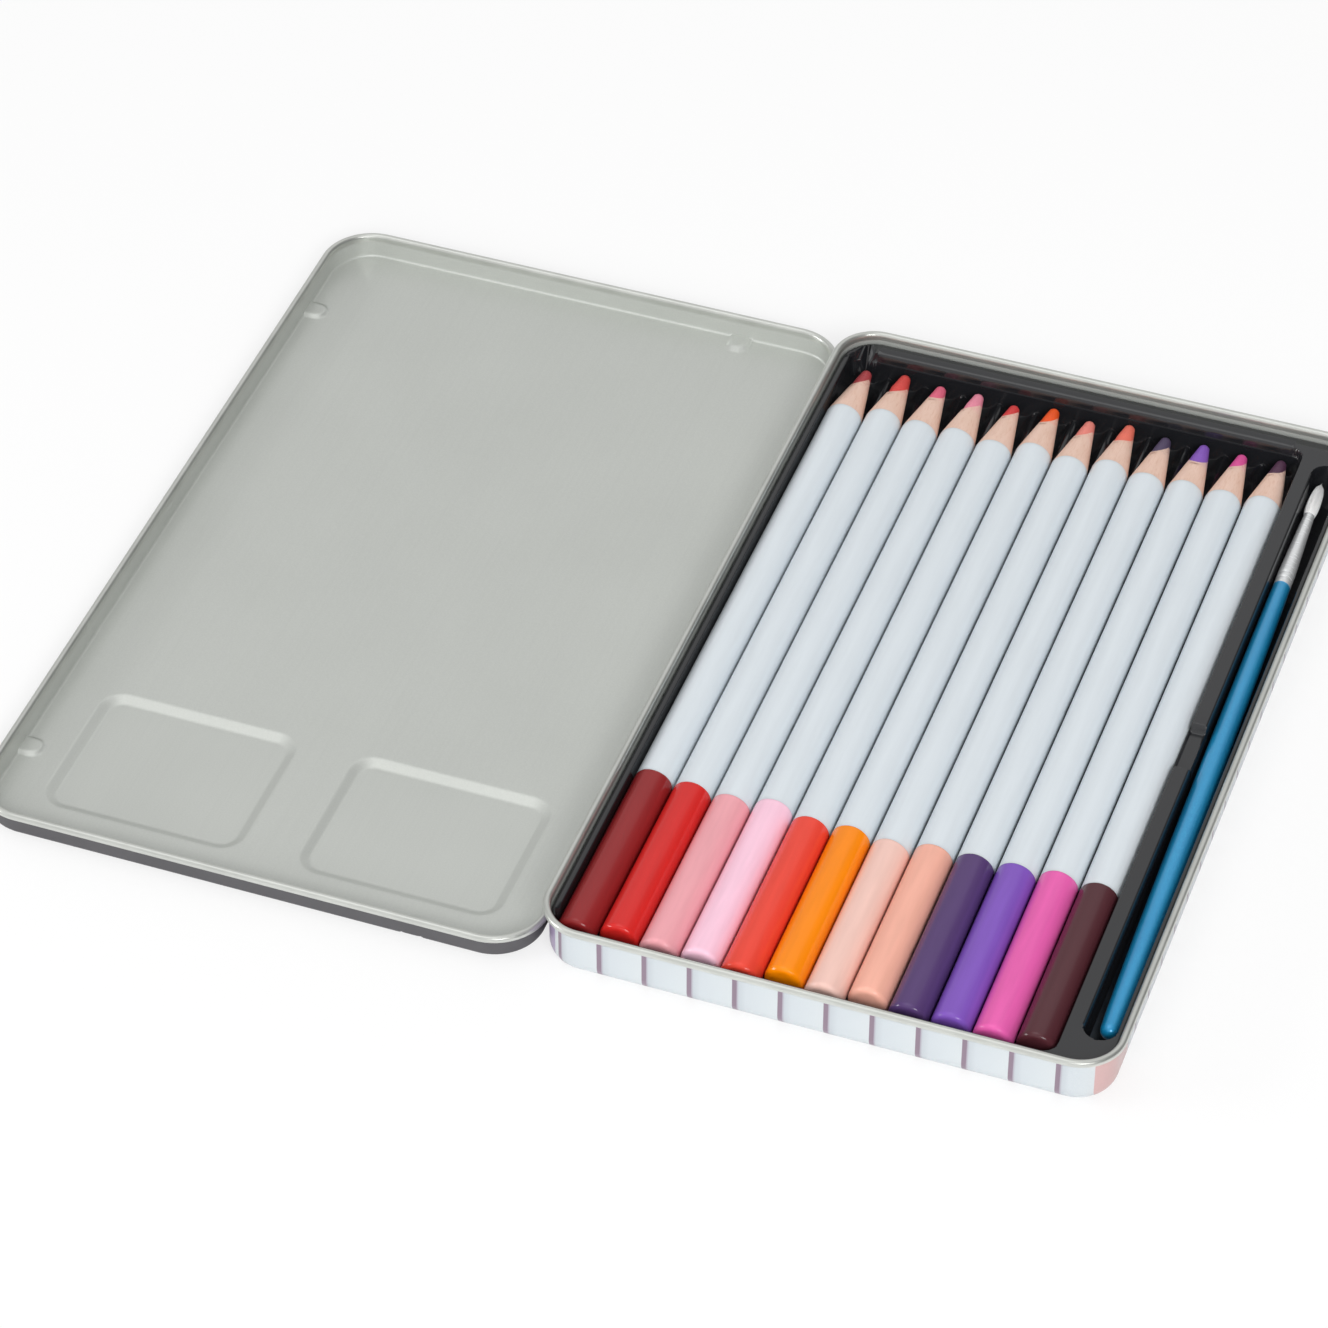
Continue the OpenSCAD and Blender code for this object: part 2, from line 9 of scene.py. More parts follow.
import bmesh
import bpy
import numpy as np
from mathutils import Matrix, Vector


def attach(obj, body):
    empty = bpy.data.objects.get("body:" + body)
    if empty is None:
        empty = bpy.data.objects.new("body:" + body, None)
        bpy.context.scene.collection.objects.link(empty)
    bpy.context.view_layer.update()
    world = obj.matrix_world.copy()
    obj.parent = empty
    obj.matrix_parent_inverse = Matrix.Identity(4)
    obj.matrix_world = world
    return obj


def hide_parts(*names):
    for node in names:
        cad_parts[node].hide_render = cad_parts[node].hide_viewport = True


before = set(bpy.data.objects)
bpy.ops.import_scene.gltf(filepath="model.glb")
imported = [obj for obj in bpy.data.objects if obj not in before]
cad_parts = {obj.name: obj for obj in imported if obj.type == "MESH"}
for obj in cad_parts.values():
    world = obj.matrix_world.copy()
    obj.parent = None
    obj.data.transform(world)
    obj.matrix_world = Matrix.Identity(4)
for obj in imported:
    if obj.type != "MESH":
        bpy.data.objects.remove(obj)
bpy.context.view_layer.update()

MM = 0.001

# Mesh points within WELD metres become one, and grid lines within LINE_GAP millimetres too.
WELD, LINE_GAP = 2e-6, 0.04

# Sizes in millimetres, in the frame's axes: +X from the lid to the tray, +Y to the pencil tips.
# A pan's `patch` is the radius of its flat floor's round corners, where its foot's profile begins.
TIN = 0.3
BEAD_R, CURL_END = 0.75, -125
TRAY = dict(half=(55.7, 92.7), corner=9.0, rim_z=12.2, foot=3.2, patch=3.5)
LID = dict(half=(57.5, 94.5), corner=10.8, rim_z=6.7, foot=0.5, patch=6.2)
LID_X, LID_FLOOR = -112.4, 1.3
WELL_HALF = (20.65, 16.65)
WELL_CENTRES = ((-26.25, -67.75), (26.25, -67.75))
WELL_DEPTH, WELL_SLOPE, WELL_CORNER = 1.0, 2.0, 5.0
DIMPLE_X, DIMPLE_Y = 33.5, 71.0
DIMPLE_TOP, DIMPLE_R, DIMPLE_NOSE, DIMPLE_FLANK = 0.6, 2.5, 2.1, 0.65
PIP_R, PIP_RISE, PIP_Z = 1.3, 0.2, 4.15

HINGE_X, HINGE_Z = -56.2, 7.15
HINGE_Y = (-52.5, 52.5)
KNUCKLE_MID_R, KNUCKLE_T, KNUCKLE_EDGE = 0.62, 0.34, 0.05
NOTCH_DROP, NOTCH_DEPTH = 1.5, 2.0
LID_KNUCKLE, TRAY_KNUCKLE, KNUCKLE_GAP = 5.0, 4.0, 0.4
NOTCH_HALF = LID_KNUCKLE / 2 + TRAY_KNUCKLE + 2 * KNUCKLE_GAP

# The print's stripes: pitch round the wall, first stripe, and where the corner panels begin
STRIPE_PITCH, STRIPE_START = 8.76, 10.94
CORNER_PANEL_X, CORNER_PANEL_Y = 51.6, 78.0

DECK_Z, LEDGE_Z, RIDGE_Z, SLOT_Z, SCOOP_Z = 10.0, 8.0, 4.9, 4.1, 8.2
INSERT = dict(half=(54.0, 91.0), corner=7.3)
DECK_R, SKIRT_Z, SHEET = 0.6, 2.6, 0.4
BAY = dict(centre=(-4.4, -0.9), half=(48.15, 88.6), corner=2.9)
BAY_LOW = dict(centre=(-4.4, -1.2), half=(48.15, 88.3), corner=2.9)
SLOT = dict(centre=(49.85, 0.4), half=(3.2, 84.0), corner=3.19)
SCOOP = dict(centre=(45.2, -4.0), half=(2.4, 6.5), corner=1.2)
BAY_WALL, BAY_LOW_WALL, SLOT_WALL, SCOOP_WALL = 0.4, 0.5, 0.7, 1.2
SLOT_HOLLOW, RIDGE_BLUNT = 0.9, 0.25

PENCIL_R, BARREL_R, CORE_R, TIP_R = 3.85, 3.81, 1.9, 0.95
PENCIL_L, CONE_L, PENCIL_Z, PENCIL_PITCH = 172.9, 15.7, 6.8, 8.0
FIRST_X, PENCIL_Y, GROOVE_R = -48.4, -87.6, 4.1
DIP_L, END_R, TONGUE = 41.1, 1.1, 3.4
PENCIL_SLIDE, DIP_SPREAD = 1.0, 1.6
PLUG_L, CORE_GLUE, LACQUER_T, SMUDGE_L, WORN_L = 2.0, 0.03, 0.03, 2.4, 0.75
CASING_SEGMENTS, CORE_SEGMENTS = 96, 64

BRUSH_X, BRUSH_Y, BRUSH_Z, BRUSH_L, BRUSH_YAW = 49.85, -79.3, 6.6, 161.8, 0.8
FERRULE_L, HAIR_L = 22.6, 10.6
HANDLE_L = BRUSH_L - FERRULE_L - HAIR_L
HANDLE_R, HANDLE_END_R, HANDLE_NECK_R = 2.35, 1.9, 1.75
FERRULE_STRAIGHT, FERRULE_T, MOUTH_R, HAIR_R = 4.6, 0.02, 1.1, 1.38
CRIMPS, CRIMP_DEPTH, CRIMP_HALF = (1.6, 3.2), 0.14, 0.5
HAIR_ROOT, HAIR_T, BELLY = 1.0, 0.1, 0.35

# Stage: places and sizes in metres, lamps' power in watts, angles in degrees
FLOOR_HALF, FLOOR_Z = 3.0, -1e-4
CAMERA_PLACE, CAMERA_LENS = (0.19462, -0.71350, 0.69377), 141.33
CAMERA_AZIMUTH, CAMERA_ELEVATION = 19.83, 42.70
LAMP_AIM = Vector((-0.05, 0.0, 0.0))
# One row per lamp: name, place, size, power, and whether glossy surfaces mirror it
LAMPS = (
    ("key_box", (0.887, -1.518, 1.32), (0.95, 0.55), 14.1, False),
    ("glint_box", (0.807, -1.381, 1.2), (0.68, 0.45), 7.0, True),
    ("front_fill", (0.3, -2.61, 1.44), (2.0, 1.2), 22.2, False),
    ("top_box", (-0.5, -0.26, 1.92), (1.2, 1.2), 3.7, True),
    ("left_box", (-1.85, -0.88, 0.79), (0.8, 0.3), 8.5, True),
)

# One row per pencil: name, dipped coat, core, shift share, dip share, how far the core shows.
PENCILS = (
    ("burgundy", "#922628", "#B8474C", -0.6, 1.0, 4.8),
    ("red", "#D72926", "#E5504A", 0.7, -0.25, 6.3),
    ("salmon_pink", "#F0A7AF", "#EE6E8A", -0.3, -0.05, 4.0),
    ("light_pink", "#FFCEE2", "#F997AE", 0.0, 0.7, 5.5),
    ("vermilion", "#EC4837", "#E14444", -1.0, 0.0, 3.5),
    ("orange", "#FF8E03", "#FF5F22", 0.8, -0.95, 4.8),
    ("peach", "#F6CBBF", "#F99184", -0.6, -0.65, 5.1),
    ("salmon", "#F7B5A1", "#F97C68", 1.0, -0.75, 5.8),
    ("indigo", "#563D71", "#574A68", -0.3, 0.2, 4.9),
    ("violet", "#8257BE", "#8F5FC6", 0.1, 0.1, 6.0),
    ("hot_pink", "#EA62B0", "#E958A2", -0.2, 0.75, 4.2),
    ("maroon", "#52282F", "#56334D", 0.7, -0.1, 4.5),
)


# -------------------- surfaces

def lines(low, high, step, *bands):
    """Grid lines from low to high every step, plus (start, end, count) bands of finer lines."""
    parts = [np.linspace(low, high, int(np.ceil((high - low) / step)) + 1)]
    parts += [np.linspace(a, b, n) for a, b, n in bands]
    found = np.unique(np.concatenate(parts).round(4))
    found = found[(found >= low) & (found <= high)]
    keep = np.concatenate([[True], np.diff(found) > LINE_GAP])
    keep[-1] = True
    return found[keep]


def wall_bands(centre, half, within, beyond, count):
    """Bands of finer lines over both walls of a hollow, from `within` inside them to `beyond`."""
    return [(centre + s * (half - within), centre + s * (half + beyond), count) for s in (-1, 1)]


def smooth(t):
    """Rises from 0 to 1 along 3t^2 - 2t^3."""
    t = np.clip(t, 0.0, 1.0)
    return t * t * (3.0 - 2.0 * t)


def pressed(t):
    """Rises from 0 to 1 as a pressed flank does: a straight ramp with a little 3t^2 - 2t^3 in it."""
    return 0.85 * np.clip(t, 0.0, 1.0) + 0.15 * smooth(t)


def box_distance(x, y, centre, half, corner):
    """Signed distance to a rounded rectangle: negative inside."""
    qx = np.abs(x - centre[0]) - half[0] + corner
    qy = np.abs(y - centre[1]) - half[1] + corner
    outside = np.hypot(np.maximum(qx, 0.0), np.maximum(qy, 0.0))
    return outside + np.minimum(np.maximum(qx, qy), 0.0) - corner


def rounded_grid(xs, ys, half, corner):
    """Warps the grid xs by ys so that each corner square of side `corner` becomes a quarter disc.

    A point (s, t) of the square goes to radius max(s, t) at the angle 45 deg * min / max.
    """
    x, y = np.meshgrid(xs, ys)
    cx = np.clip(x, corner - half[0], half[0] - corner)
    cy = np.clip(y, corner - half[1], half[1] - corner)
    s, t = np.abs(x - cx) / corner, np.abs(y - cy) / corner
    big, small = np.maximum(s, t), np.minimum(s, t)
    angle = np.pi / 4 * small / np.maximum(big, 1e-9)
    along, across = big * np.cos(angle), big * np.sin(angle)
    px = np.where(s >= t, along, across) * corner
    py = np.where(s >= t, across, along) * corner
    return cx + np.sign(x - cx) * px, cy + np.sign(y - cy) * py, cx, cy


def border(rows, cols):
    """Indices of a grid's border, counterclockwise from its low corner."""
    index = np.arange(rows * cols).reshape(rows, cols)
    return np.concatenate([index[0, :-1], index[:-1, -1], index[-1, :0:-1], index[:0:-1, 0]])


def grid_quads(rows, cols, wrap=False):
    """Quads of a rows by cols grid of points, closed round its columns where wrap is set."""
    r = np.arange(rows - 1)[:, None] * cols
    c = np.arange(cols if wrap else cols - 1)[None, :]
    n = (c + 1) % cols
    return np.stack([r + c, r + n, r + cols + n, r + cols + c], -1).reshape(-1, 4)


def arc(centre, radius, start, end, count):
    """Points (rho, z) on an arc, with the angles in degrees from the +rho axis."""
    a = np.radians(np.linspace(start, end, count))
    return np.column_stack([centre[0] + radius * np.cos(a), centre[1] + radius * np.sin(a)])


def pan_surface(xs, ys, pan, profile, shape=None):
    """A warped grid with a ring round it that follows `profile`, whose first point is the grid's edge.

    Ring point (v, u) is the border point's corner centre plus its outward direction times
    rho[v], at z[v]. `shape` returns the points moved, and is given their rings, 0 on the grid.
    Returns the points, the quads, and UVs in millimetres: the distance round the pan, and the
    distance up the profile. The grid's own UVs are -1.
    """
    patch_corner, floor = profile[0]
    patch_half = [h - pan["corner"] + patch_corner for h in pan["half"]]
    x, y, cx, cy = rounded_grid(xs, ys, patch_half, patch_corner)
    rows, cols = x.shape
    patch = np.column_stack([x.ravel(), y.ravel(), np.full(x.size, floor)])
    loop = border(rows, cols)
    middle = np.column_stack([cx.ravel()[loop], cy.ravel()[loop]])
    out = (patch[loop, :2] - middle) / patch_corner
    rho, z = profile[1:].T
    ring = middle[None] + out[None] * rho[:, None, None]
    ring = np.concatenate([ring, np.broadcast_to(z[:, None, None], ring.shape[:2] + (1,))], -1)
    points = np.concatenate([patch, ring.reshape(-1, 3)])
    count = len(loop)
    if shape is not None:
        points = shape(points, np.repeat(np.arange(len(rho) + 1), [len(patch)] + [count] * len(rho)))

    rings = len(patch) + np.arange(len(rho) * count).reshape(len(rho), count)
    index = np.concatenate([loop[None], rings])
    nxt = np.roll(index, -1, axis=1)
    ring_quads = np.stack([index[:-1], index[1:], nxt[1:], nxt[:-1]], -1).reshape(-1, 4)
    quads = np.concatenate([grid_quads(rows, cols), ring_quads])

    edge = middle + out * pan["corner"]
    steps = np.linalg.norm(np.roll(edge, -1, axis=0) - edge, axis=1)
    round_mm = np.concatenate([[0.0], np.cumsum(steps)])
    up = np.concatenate([[0.0], np.cumsum(np.linalg.norm(np.diff(profile, axis=0), axis=1))])
    v, u = np.meshgrid(np.arange(len(rho)), np.arange(count), indexing="ij")
    corners = ((u, v), (u, v + 1), (u + 1, v + 1), (u + 1, v))
    uv_ring = np.stack([np.stack([round_mm[a], up[b]], -1) for a, b in corners], -2)
    uv = np.concatenate([np.full(((rows - 1) * (cols - 1), 4, 2), -1.0), uv_ring.reshape(-1, 4, 2)])
    return points, quads, uv


def turned_surface(radii, along, segments=64):
    """Turns the profile (radii, along) about +Y. Point (k, j) is at angle 2 pi j / segments.

    A row of the profile holds one radius and distance, or one for each segment.
    """
    angle = np.linspace(0.0, 2 * np.pi, segments, endpoint=False)
    r, y = (np.broadcast_to(np.asarray(v, float).reshape(len(v), -1), (len(v), segments))
            for v in (radii, along))
    points = np.stack([r * np.cos(angle), y, r * np.sin(angle)], -1).reshape(-1, 3)
    return points, grid_quads(len(r), segments, wrap=True)[:, ::-1]


def new_object(name, data):
    """An object that holds `data`, linked to the scene."""
    made = bpy.data.objects.new(name, data)
    bpy.context.scene.collection.objects.link(made)
    return made


def build(name, points, quads, body, stands_for, materials, faces=None, uv=None, crease=40.0):
    """Makes a mesh piece from points in millimetres, merges its doubles, and puts it on its body."""
    mesh = bpy.data.meshes.new(name)
    mesh.from_pydata((points * MM).tolist(), [], quads.tolist())
    for material in materials:
        mesh.materials.append(material)
    if faces is not None:
        mesh.polygons.foreach_set("material_index", faces.astype(np.int32))
    if uv is not None:
        layer = mesh.uv_layers.new(name="sheet_mm")
        layer.data.foreach_set("uv", uv.astype(np.float32).ravel())
    work = bmesh.new()
    work.from_mesh(mesh)
    bmesh.ops.remove_doubles(work, verts=work.verts, dist=WELD)
    bmesh.ops.dissolve_degenerate(work, edges=work.edges, dist=WELD)
    work.to_mesh(mesh)
    work.free()
    mesh.shade_smooth()
    mesh.set_sharp_from_angle(angle=np.radians(crease))
    piece = new_object(name, mesh)
    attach(piece, body)
    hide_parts(*stands_for)
    return piece


def sheet_thickness(piece, thickness, far_slot, offset=-1.0, even=True):
    """Gives a surface the thickness of its sheet, with the far side `far_slot` material slots on."""
    solid = piece.modifiers.new("sheet", "SOLIDIFY")
    solid.thickness = thickness * MM
    solid.offset = offset
    solid.use_even_offset = even
    solid.material_offset = far_slot


# -------------------- materials

# The colour sockets of a Mix node, its colour output, and its settings for a blend and a product
MIX_A, MIX_B, MIXED = 6, 7, 2
BLEND = dict(data_type="RGBA")
MULTIPLY = dict(data_type="RGBA", blend_type="MULTIPLY")
# Where most of a noise's values lie
MIDDLE = {"From Min": 0.3, "From Max": 0.7}


def colour(hex_text, share=1.0):
    """An sRGB hex colour as linear RGBA, deepened to a share of its light."""
    value = np.array([int(hex_text[i:i + 2], 16) for i in (1, 3, 5)]) / 255.0
    linear = np.where(value <= 0.04045, value / 12.92, ((value + 0.055) / 1.055) ** 2.4)
    return (*(linear * share).tolist(), 1.0)


def per_mm(x, y, z):
    """The Mapping scale that makes a noise's grains measure about x by y by z millimetres."""
    return 1.0 / (x * MM), 1.0 / (y * MM), 1.0 / (z * MM)


def add(tree, kind, links=None, stops=(), **settings):
    """Adds a shader node, sets its properties, and fills its sockets with values, sockets or nodes.

    A node stands for its first output, a hex text for its colour, and `stops` are a ramp's
    (position, colour) pairs.
    """
    made = tree.nodes.new("ShaderNode" + kind)
    for key, value in settings.items():
        setattr(made, key, value)
    for key, value in (links or {}).items():
        value = value.outputs[0] if isinstance(value, bpy.types.Node) else value
        value = colour(value) if isinstance(value, str) else value
        if isinstance(value, bpy.types.NodeSocket):
            tree.links.new(value, made.inputs[key])
        else:
            made.inputs[key].default_value = value
    for k, (position, value) in enumerate(stops):
        element = made.color_ramp.elements[k] if k < 2 else made.color_ramp.elements.new(position)
        element.position = position
        element.color = colour(value) if isinstance(value, str) else value
    return made


def make_material(finish, *values, name=None):
    """A material whose surface is the shader that the function `finish` returns.

    `finish` gets the node tree, the Object coordinates for its patterns, and `values`.
    """
    material = bpy.data.materials.new(name or finish.__name__)
    material.use_nodes = True
    tree = material.node_tree
    tree.nodes.clear()
    shader = finish(tree, add(tree, "TexCoord").outputs["Object"], *values)
    add(tree, "OutputMaterial", {"Surface": shader})
    return material


def silver_roller_coat(tree, place):
    """Aluminium-pigmented lacquer, roller coated on tinplate before it is drawn.

    It gives an even satin grey with faint streaks along the coil and a grain of metal flakes, which
    are about 0.03 mm and are drawn at 0.3 mm so that they show.
    """
    streak = add(tree, "TexNoise", {
        "Vector": add(tree, "Mapping", {"Vector": place, "Scale": per_mm(0.5, 30.0, 0.5)}),
        "Scale": 1.0})
    cloud = add(tree, "TexNoise", {"Vector": place, "Scale": 1 / (30.0 * MM)})
    flake = add(tree, "TexNoise", {"Vector": place, "Scale": 1 / (0.3 * MM)})
    tone = add(tree, "ValToRGB", {"Fac": cloud}, stops=((0.3, "#CACDC8"), (0.7, "#CDD0CB")))
    streaks = add(tree, "ValToRGB", {"Fac": streak}, stops=((0.45, "#FFFFFF"), (0.8, "#FDFDFD")))
    flakes = add(tree, "ValToRGB", {"Fac": flake}, stops=((0.35, "#FAFAFA"), (0.7, "#FFFFFF")))
    tone = add(tree, "Mix", {0: 1.0, MIX_A: tone, MIX_B: streaks}, **MULTIPLY).outputs[MIXED]
    tone = add(tree, "Mix", {0: 1.0, MIX_A: tone, MIX_B: flakes}, **MULTIPLY).outputs[MIXED]
    gloss = add(tree, "MapRange", {"Value": streak, **MIDDLE, "To Min": 0.4, "To Max": 0.415})
    grain = add(tree, "Bump", {"Height": flake, "Distance": 0.003 * MM})
    return add(tree, "BsdfPrincipled", {
        "Base Color": tone, "Metallic": 0.45, "Roughness": gloss, "Normal": grain})


def silver_rolled_rim(tree, place):
    """The same lacquer where the rim is rolled over its wire edge and handled.

    The forming stretches the coat, so the curl is a little brighter, with worn lighter patches.
    """
    rub = add(tree, "TexNoise", {"Vector": place, "Scale": 1 / (7.0 * MM), "Detail": 3.0})
    tone = add(tree, "ValToRGB", {"Fac": rub}, stops=((0.35, "#CCCEC9"), (0.65, "#D5D7D2")))
    gloss = add(tree, "MapRange", {"Value": rub, **MIDDLE, "To Min": 0.3, "To Max": 0.38})
    return add(tree, "BsdfPrincipled", {"Base Color": tone, "Metallic": 0.8, "Roughness": gloss})


def charcoal_stoved_lacquer(tree, place):
    """Charcoal stoving lacquer on tinplate: semi-matt, with a fine orange peel and soft clouds."""
    peel = add(tree, "TexNoise", {"Vector": place, "Scale": 1 / (0.5 * MM)})
    cloud = add(tree, "TexNoise", {"Vector": place, "Scale": 1 / (14.0 * MM)})
    tone = add(tree, "ValToRGB", {"Fac": cloud}, stops=((0.3, "#4B4A4D"), (0.7, "#525154")))
    gloss = add(tree, "MapRange", {"Value": cloud, **MIDDLE, "To Min": 0.38, "To Max": 0.5})
    skin = add(tree, "Bump", {"Height": peel, "Distance": 0.006 * MM})
    return add(tree, "BsdfPrincipled", {"Base Color": tone, "Roughness": gloss, "Normal": skin})


def striped_offset_print(tree, place):
    """Offset print on tinplate under a roller varnish: pale panels parted by narrow mauve stripes.

    Each stripe is sharp on one side and fades on the other. The corners carry plain tinted panels.
    The halftone gives the flat colours a grain of dots, drawn at 0.15 mm so that it shows.
    """
    uv = add(tree, "UVMap", uv_map="sheet_mm")
    along = add(tree, "SeparateXYZ", {"Vector": uv}).outputs
    from_first = add(tree, "Math", {0: along[0], 1: STRIPE_START}, operation="SUBTRACT")
    pitches = add(tree, "Math", {0: from_first, 1: STRIPE_PITCH}, operation="DIVIDE")
    share = add(tree, "Math", {0: pitches}, operation="FRACT")
    stripe = ((0.0, "#867281"), (1.0, "#CBD0D2"), (0.095, "#847080"), (0.11, "#A39CA8"),
              (0.15, "#B9BFC4"), (0.3, "#C4CACE"), (0.7, "#C8CED1"))
    panel = add(tree, "ValToRGB", {"Fac": share}, stops=stripe)
    spot = add(tree, "SeparateXYZ", {"Vector": place}).outputs
    to_end = add(tree, "Math", {0: spot[0]}, operation="ABSOLUTE")
    to_side = add(tree, "Math", {0: spot[1]}, operation="ABSOLUTE")
    past_end = add(tree, "Math", {0: to_end, 1: CORNER_PANEL_X * MM}, operation="GREATER_THAN")
    past_side = add(tree, "Math", {0: to_side, 1: CORNER_PANEL_Y * MM}, operation="GREATER_THAN")
    at_corner = add(tree, "Math", {0: past_end, 1: past_side}, operation="MULTIPLY")
    at_front = add(tree, "Math", {0: spot[0], 1: 0.0}, operation="GREATER_THAN")
    tint = add(tree, "Mix", {0: at_front, MIX_A: "#A493B2", MIX_B: "#C9A4A2"}, **BLEND).outputs[MIXED]
    panel = add(tree, "Mix", {0: at_corner, MIX_A: panel, MIX_B: tint}, **BLEND).outputs[MIXED]
    dots = add(tree, "TexNoise", {"Vector": place, "Scale": 1 / (0.15 * MM), "Detail": 0.0})
    dots = add(tree, "ValToRGB", {"Fac": dots}, stops=((0.3, "#FFFFFF"), (0.7, "#F6F8FA")))
    panel = add(tree, "Mix", {0: 1.0, MIX_A: panel, MIX_B: dots}, **MULTIPLY).outputs[MIXED]
    on_wall = add(tree, "Math", {0: along[1], 1: 1.0}, operation="GREATER_THAN")
    tone = add(tree, "Mix", {0: on_wall, MIX_A: "#C6CCCF", MIX_B: panel}, **BLEND).outputs[MIXED]
    cloud = add(tree, "TexNoise", {"Vector": place, "Scale": 1 / (9.0 * MM), "Detail": 3.0})
    gloss = add(tree, "MapRange", {"Value": cloud, **MIDDLE, "To Min": 0.28, "To Max": 0.32})
    peel = add(tree, "TexNoise", {"Vector": place, "Scale": 1 / (0.6 * MM)})
    skin = add(tree, "Bump", {"Height": peel, "Distance": 0.004 * MM})
    return add(tree, "BsdfPrincipled", {
        "Base Color": tone, "Roughness": gloss, "Coat Weight": 0.3, "Normal": skin})


def vacuum_formed_styrene(tree, place):
    """Black high-impact polystyrene sheet, vacuum formed.

    It gives a glossy black with a faint ripple from the mould, and a little pale dust, drawn at
    0.25 mm so that it shows.
    """
    ripple = add(tree, "TexNoise", {"Vector": place, "Scale": 1 / (3.5 * MM)})
    dust = add(tree, "TexNoise", {"Vector": place, "Scale": 1 / (0.25 * MM), "Detail": 1.0})
    tone = add(tree, "ValToRGB", {"Fac": dust}, stops=((0.7, "#1D1E21"), (0.9, "#303134")))
    gloss = add(tree, "MapRange", {"Value": ripple, **MIDDLE, "To Min": 0.1, "To Max": 0.18})
    skin = add(tree, "Bump", {"Height": ripple, "Distance": 0.02 * MM})
    return add(tree, "BsdfPrincipled", {"Base Color": tone, "Roughness": gloss, "IOR": 1.66, "Normal": skin})


def barrel_white_lacquer(tree, place):
    """White nitrocellulose lacquer in several thin extruded coats over the round barrel.

    It gives a soft gloss, a faint blue cast, and shallow runs along the pencil.
    """
    run = add(tree, "TexNoise", {
        "Vector": add(tree, "Mapping", {"Vector": place, "Scale": per_mm(1.2, 18.0, 1.2)}),
        "Scale": 1.0})
    tone = add(tree, "ValToRGB", {"Fac": run}, stops=((0.3, "#D9E0E5"), (0.7, "#DDE4E9")))
    skin = add(tree, "Bump", {"Height": run, "Distance": 0.01 * MM})
    return add(tree, "BsdfPrincipled", {"Base Color": tone, "Roughness": 0.3, "IOR": 1.46, "Normal": skin})


def dipped_lacquer(tree, place, hex_text):
    """Coloured lacquer that the pencil's end was dipped in: thick, glossy, deeper in its runs."""
    run = add(tree, "TexNoise", {
        "Vector": add(tree, "Mapping", {"Vector": place, "Scale": per_mm(1.6, 14.0, 1.6)}),
        "Scale": 1.0})
    tone = add(tree, "ValToRGB", {"Fac": run}, stops=((0.35, hex_text), (0.75, colour(hex_text, 0.92))))
    skin = add(tree, "Bump", {"Height": run, "Distance": 0.012 * MM})
    return add(tree, "BsdfPrincipled", {"Base Color": tone, "Roughness": 0.13, "IOR": 1.46, "Normal": skin})


def sharpened_basswood(tree, place, hex_text):
    """Basswood cut by a milling sharpener.

    It is pale and close grained, with faint cutter rings, and pigment dust smudged on near the core.
    """
    grain = add(tree, "TexNoise", {
        "Vector": add(tree, "Mapping", {"Vector": place, "Scale": per_mm(0.35, 8.0, 0.35)}),
        "Scale": 1.0, "Detail": 4.0, "Roughness": 0.6})
    band = add(tree, "TexNoise", {
        "Vector": add(tree, "Mapping", {"Vector": place, "Scale": per_mm(1.4, 14.0, 1.4)}),
        "Scale": 1.0})
    ring = add(tree, "TexNoise", {
        "Vector": add(tree, "Mapping", {"Vector": place, "Scale": per_mm(9.0, 0.3, 9.0)}),
        "Scale": 1.0, "Detail": 1.0})
    tone = add(tree, "ValToRGB", {"Fac": band}, stops=((0.3, "#F6D4C3"), (0.7, "#EFCBB8")))
    fibres = add(tree, "ValToRGB", {"Fac": grain}, stops=((0.5, "#FFFFFF"), (0.8, "#F1E3D8")))
    tone = add(tree, "Mix", {0: 1.0, MIX_A: tone, MIX_B: fibres}, **MULTIPLY).outputs[MIXED]
    smudge = add(tree, "SeparateXYZ", {"Vector": add(tree, "UVMap", uv_map="sheet_mm")}).outputs[1]
    patch = add(tree, "TexNoise", {"Vector": place, "Scale": 1 / (0.5 * MM), "Detail": 3.0})
    patch = add(tree, "MapRange", {"Value": patch, "From Min": 0.35, "From Max": 0.7,
                                   "To Min": 0.05, "To Max": 0.5})
    dusty = add(tree, "Math", {0: smudge, 1: patch}, operation="MULTIPLY")
    tone = add(tree, "Mix", {0: dusty, MIX_A: tone, MIX_B: hex_text}, **BLEND).outputs[MIXED]
    cut = add(tree, "Bump", {"Height": grain, "Distance": 0.02 * MM})
    cut = add(tree, "Bump", {"Height": ring, "Distance": 0.015 * MM, "Normal": cut})
    return add(tree, "BsdfPrincipled", {"Base Color": tone, "Roughness": 0.62, "Normal": cut})


def pressed_pigment_core(tree, place, hex_text):
    """Pigment, talc and wax pressed into a rod and cut with the wood.

    It is dull and fine grained, and a little shiny in rings where the cutter burnished it. The
    grains are about 0.02 mm and are drawn at 0.12 mm so that they show.
    """
    grain = add(tree, "TexNoise", {"Vector": place, "Scale": 1 / (0.12 * MM), "Detail": 3.0})
    ring = add(tree, "TexNoise", {
        "Vector": add(tree, "Mapping", {"Vector": place, "Scale": per_mm(7.5, 0.25, 7.5)}),
        "Scale": 1.0, "Detail": 1.0})
    tone = add(tree, "ValToRGB", {"Fac": grain}, stops=((0.4, hex_text), (0.75, colour(hex_text, 0.8))))
    gloss = add(tree, "MapRange", {"Value": ring, "From Min": 0.35, "From Max": 0.7,
                                   "To Min": 0.4, "To Max": 0.62})
    cut = add(tree, "Bump", {"Height": grain, "Distance": 0.025 * MM})
    cut = add(tree, "Bump", {"Height": ring, "Distance": 0.025 * MM, "Normal": cut})
    return add(tree, "BsdfPrincipled", {"Base Color": tone, "Roughness": gloss, "Normal": cut})


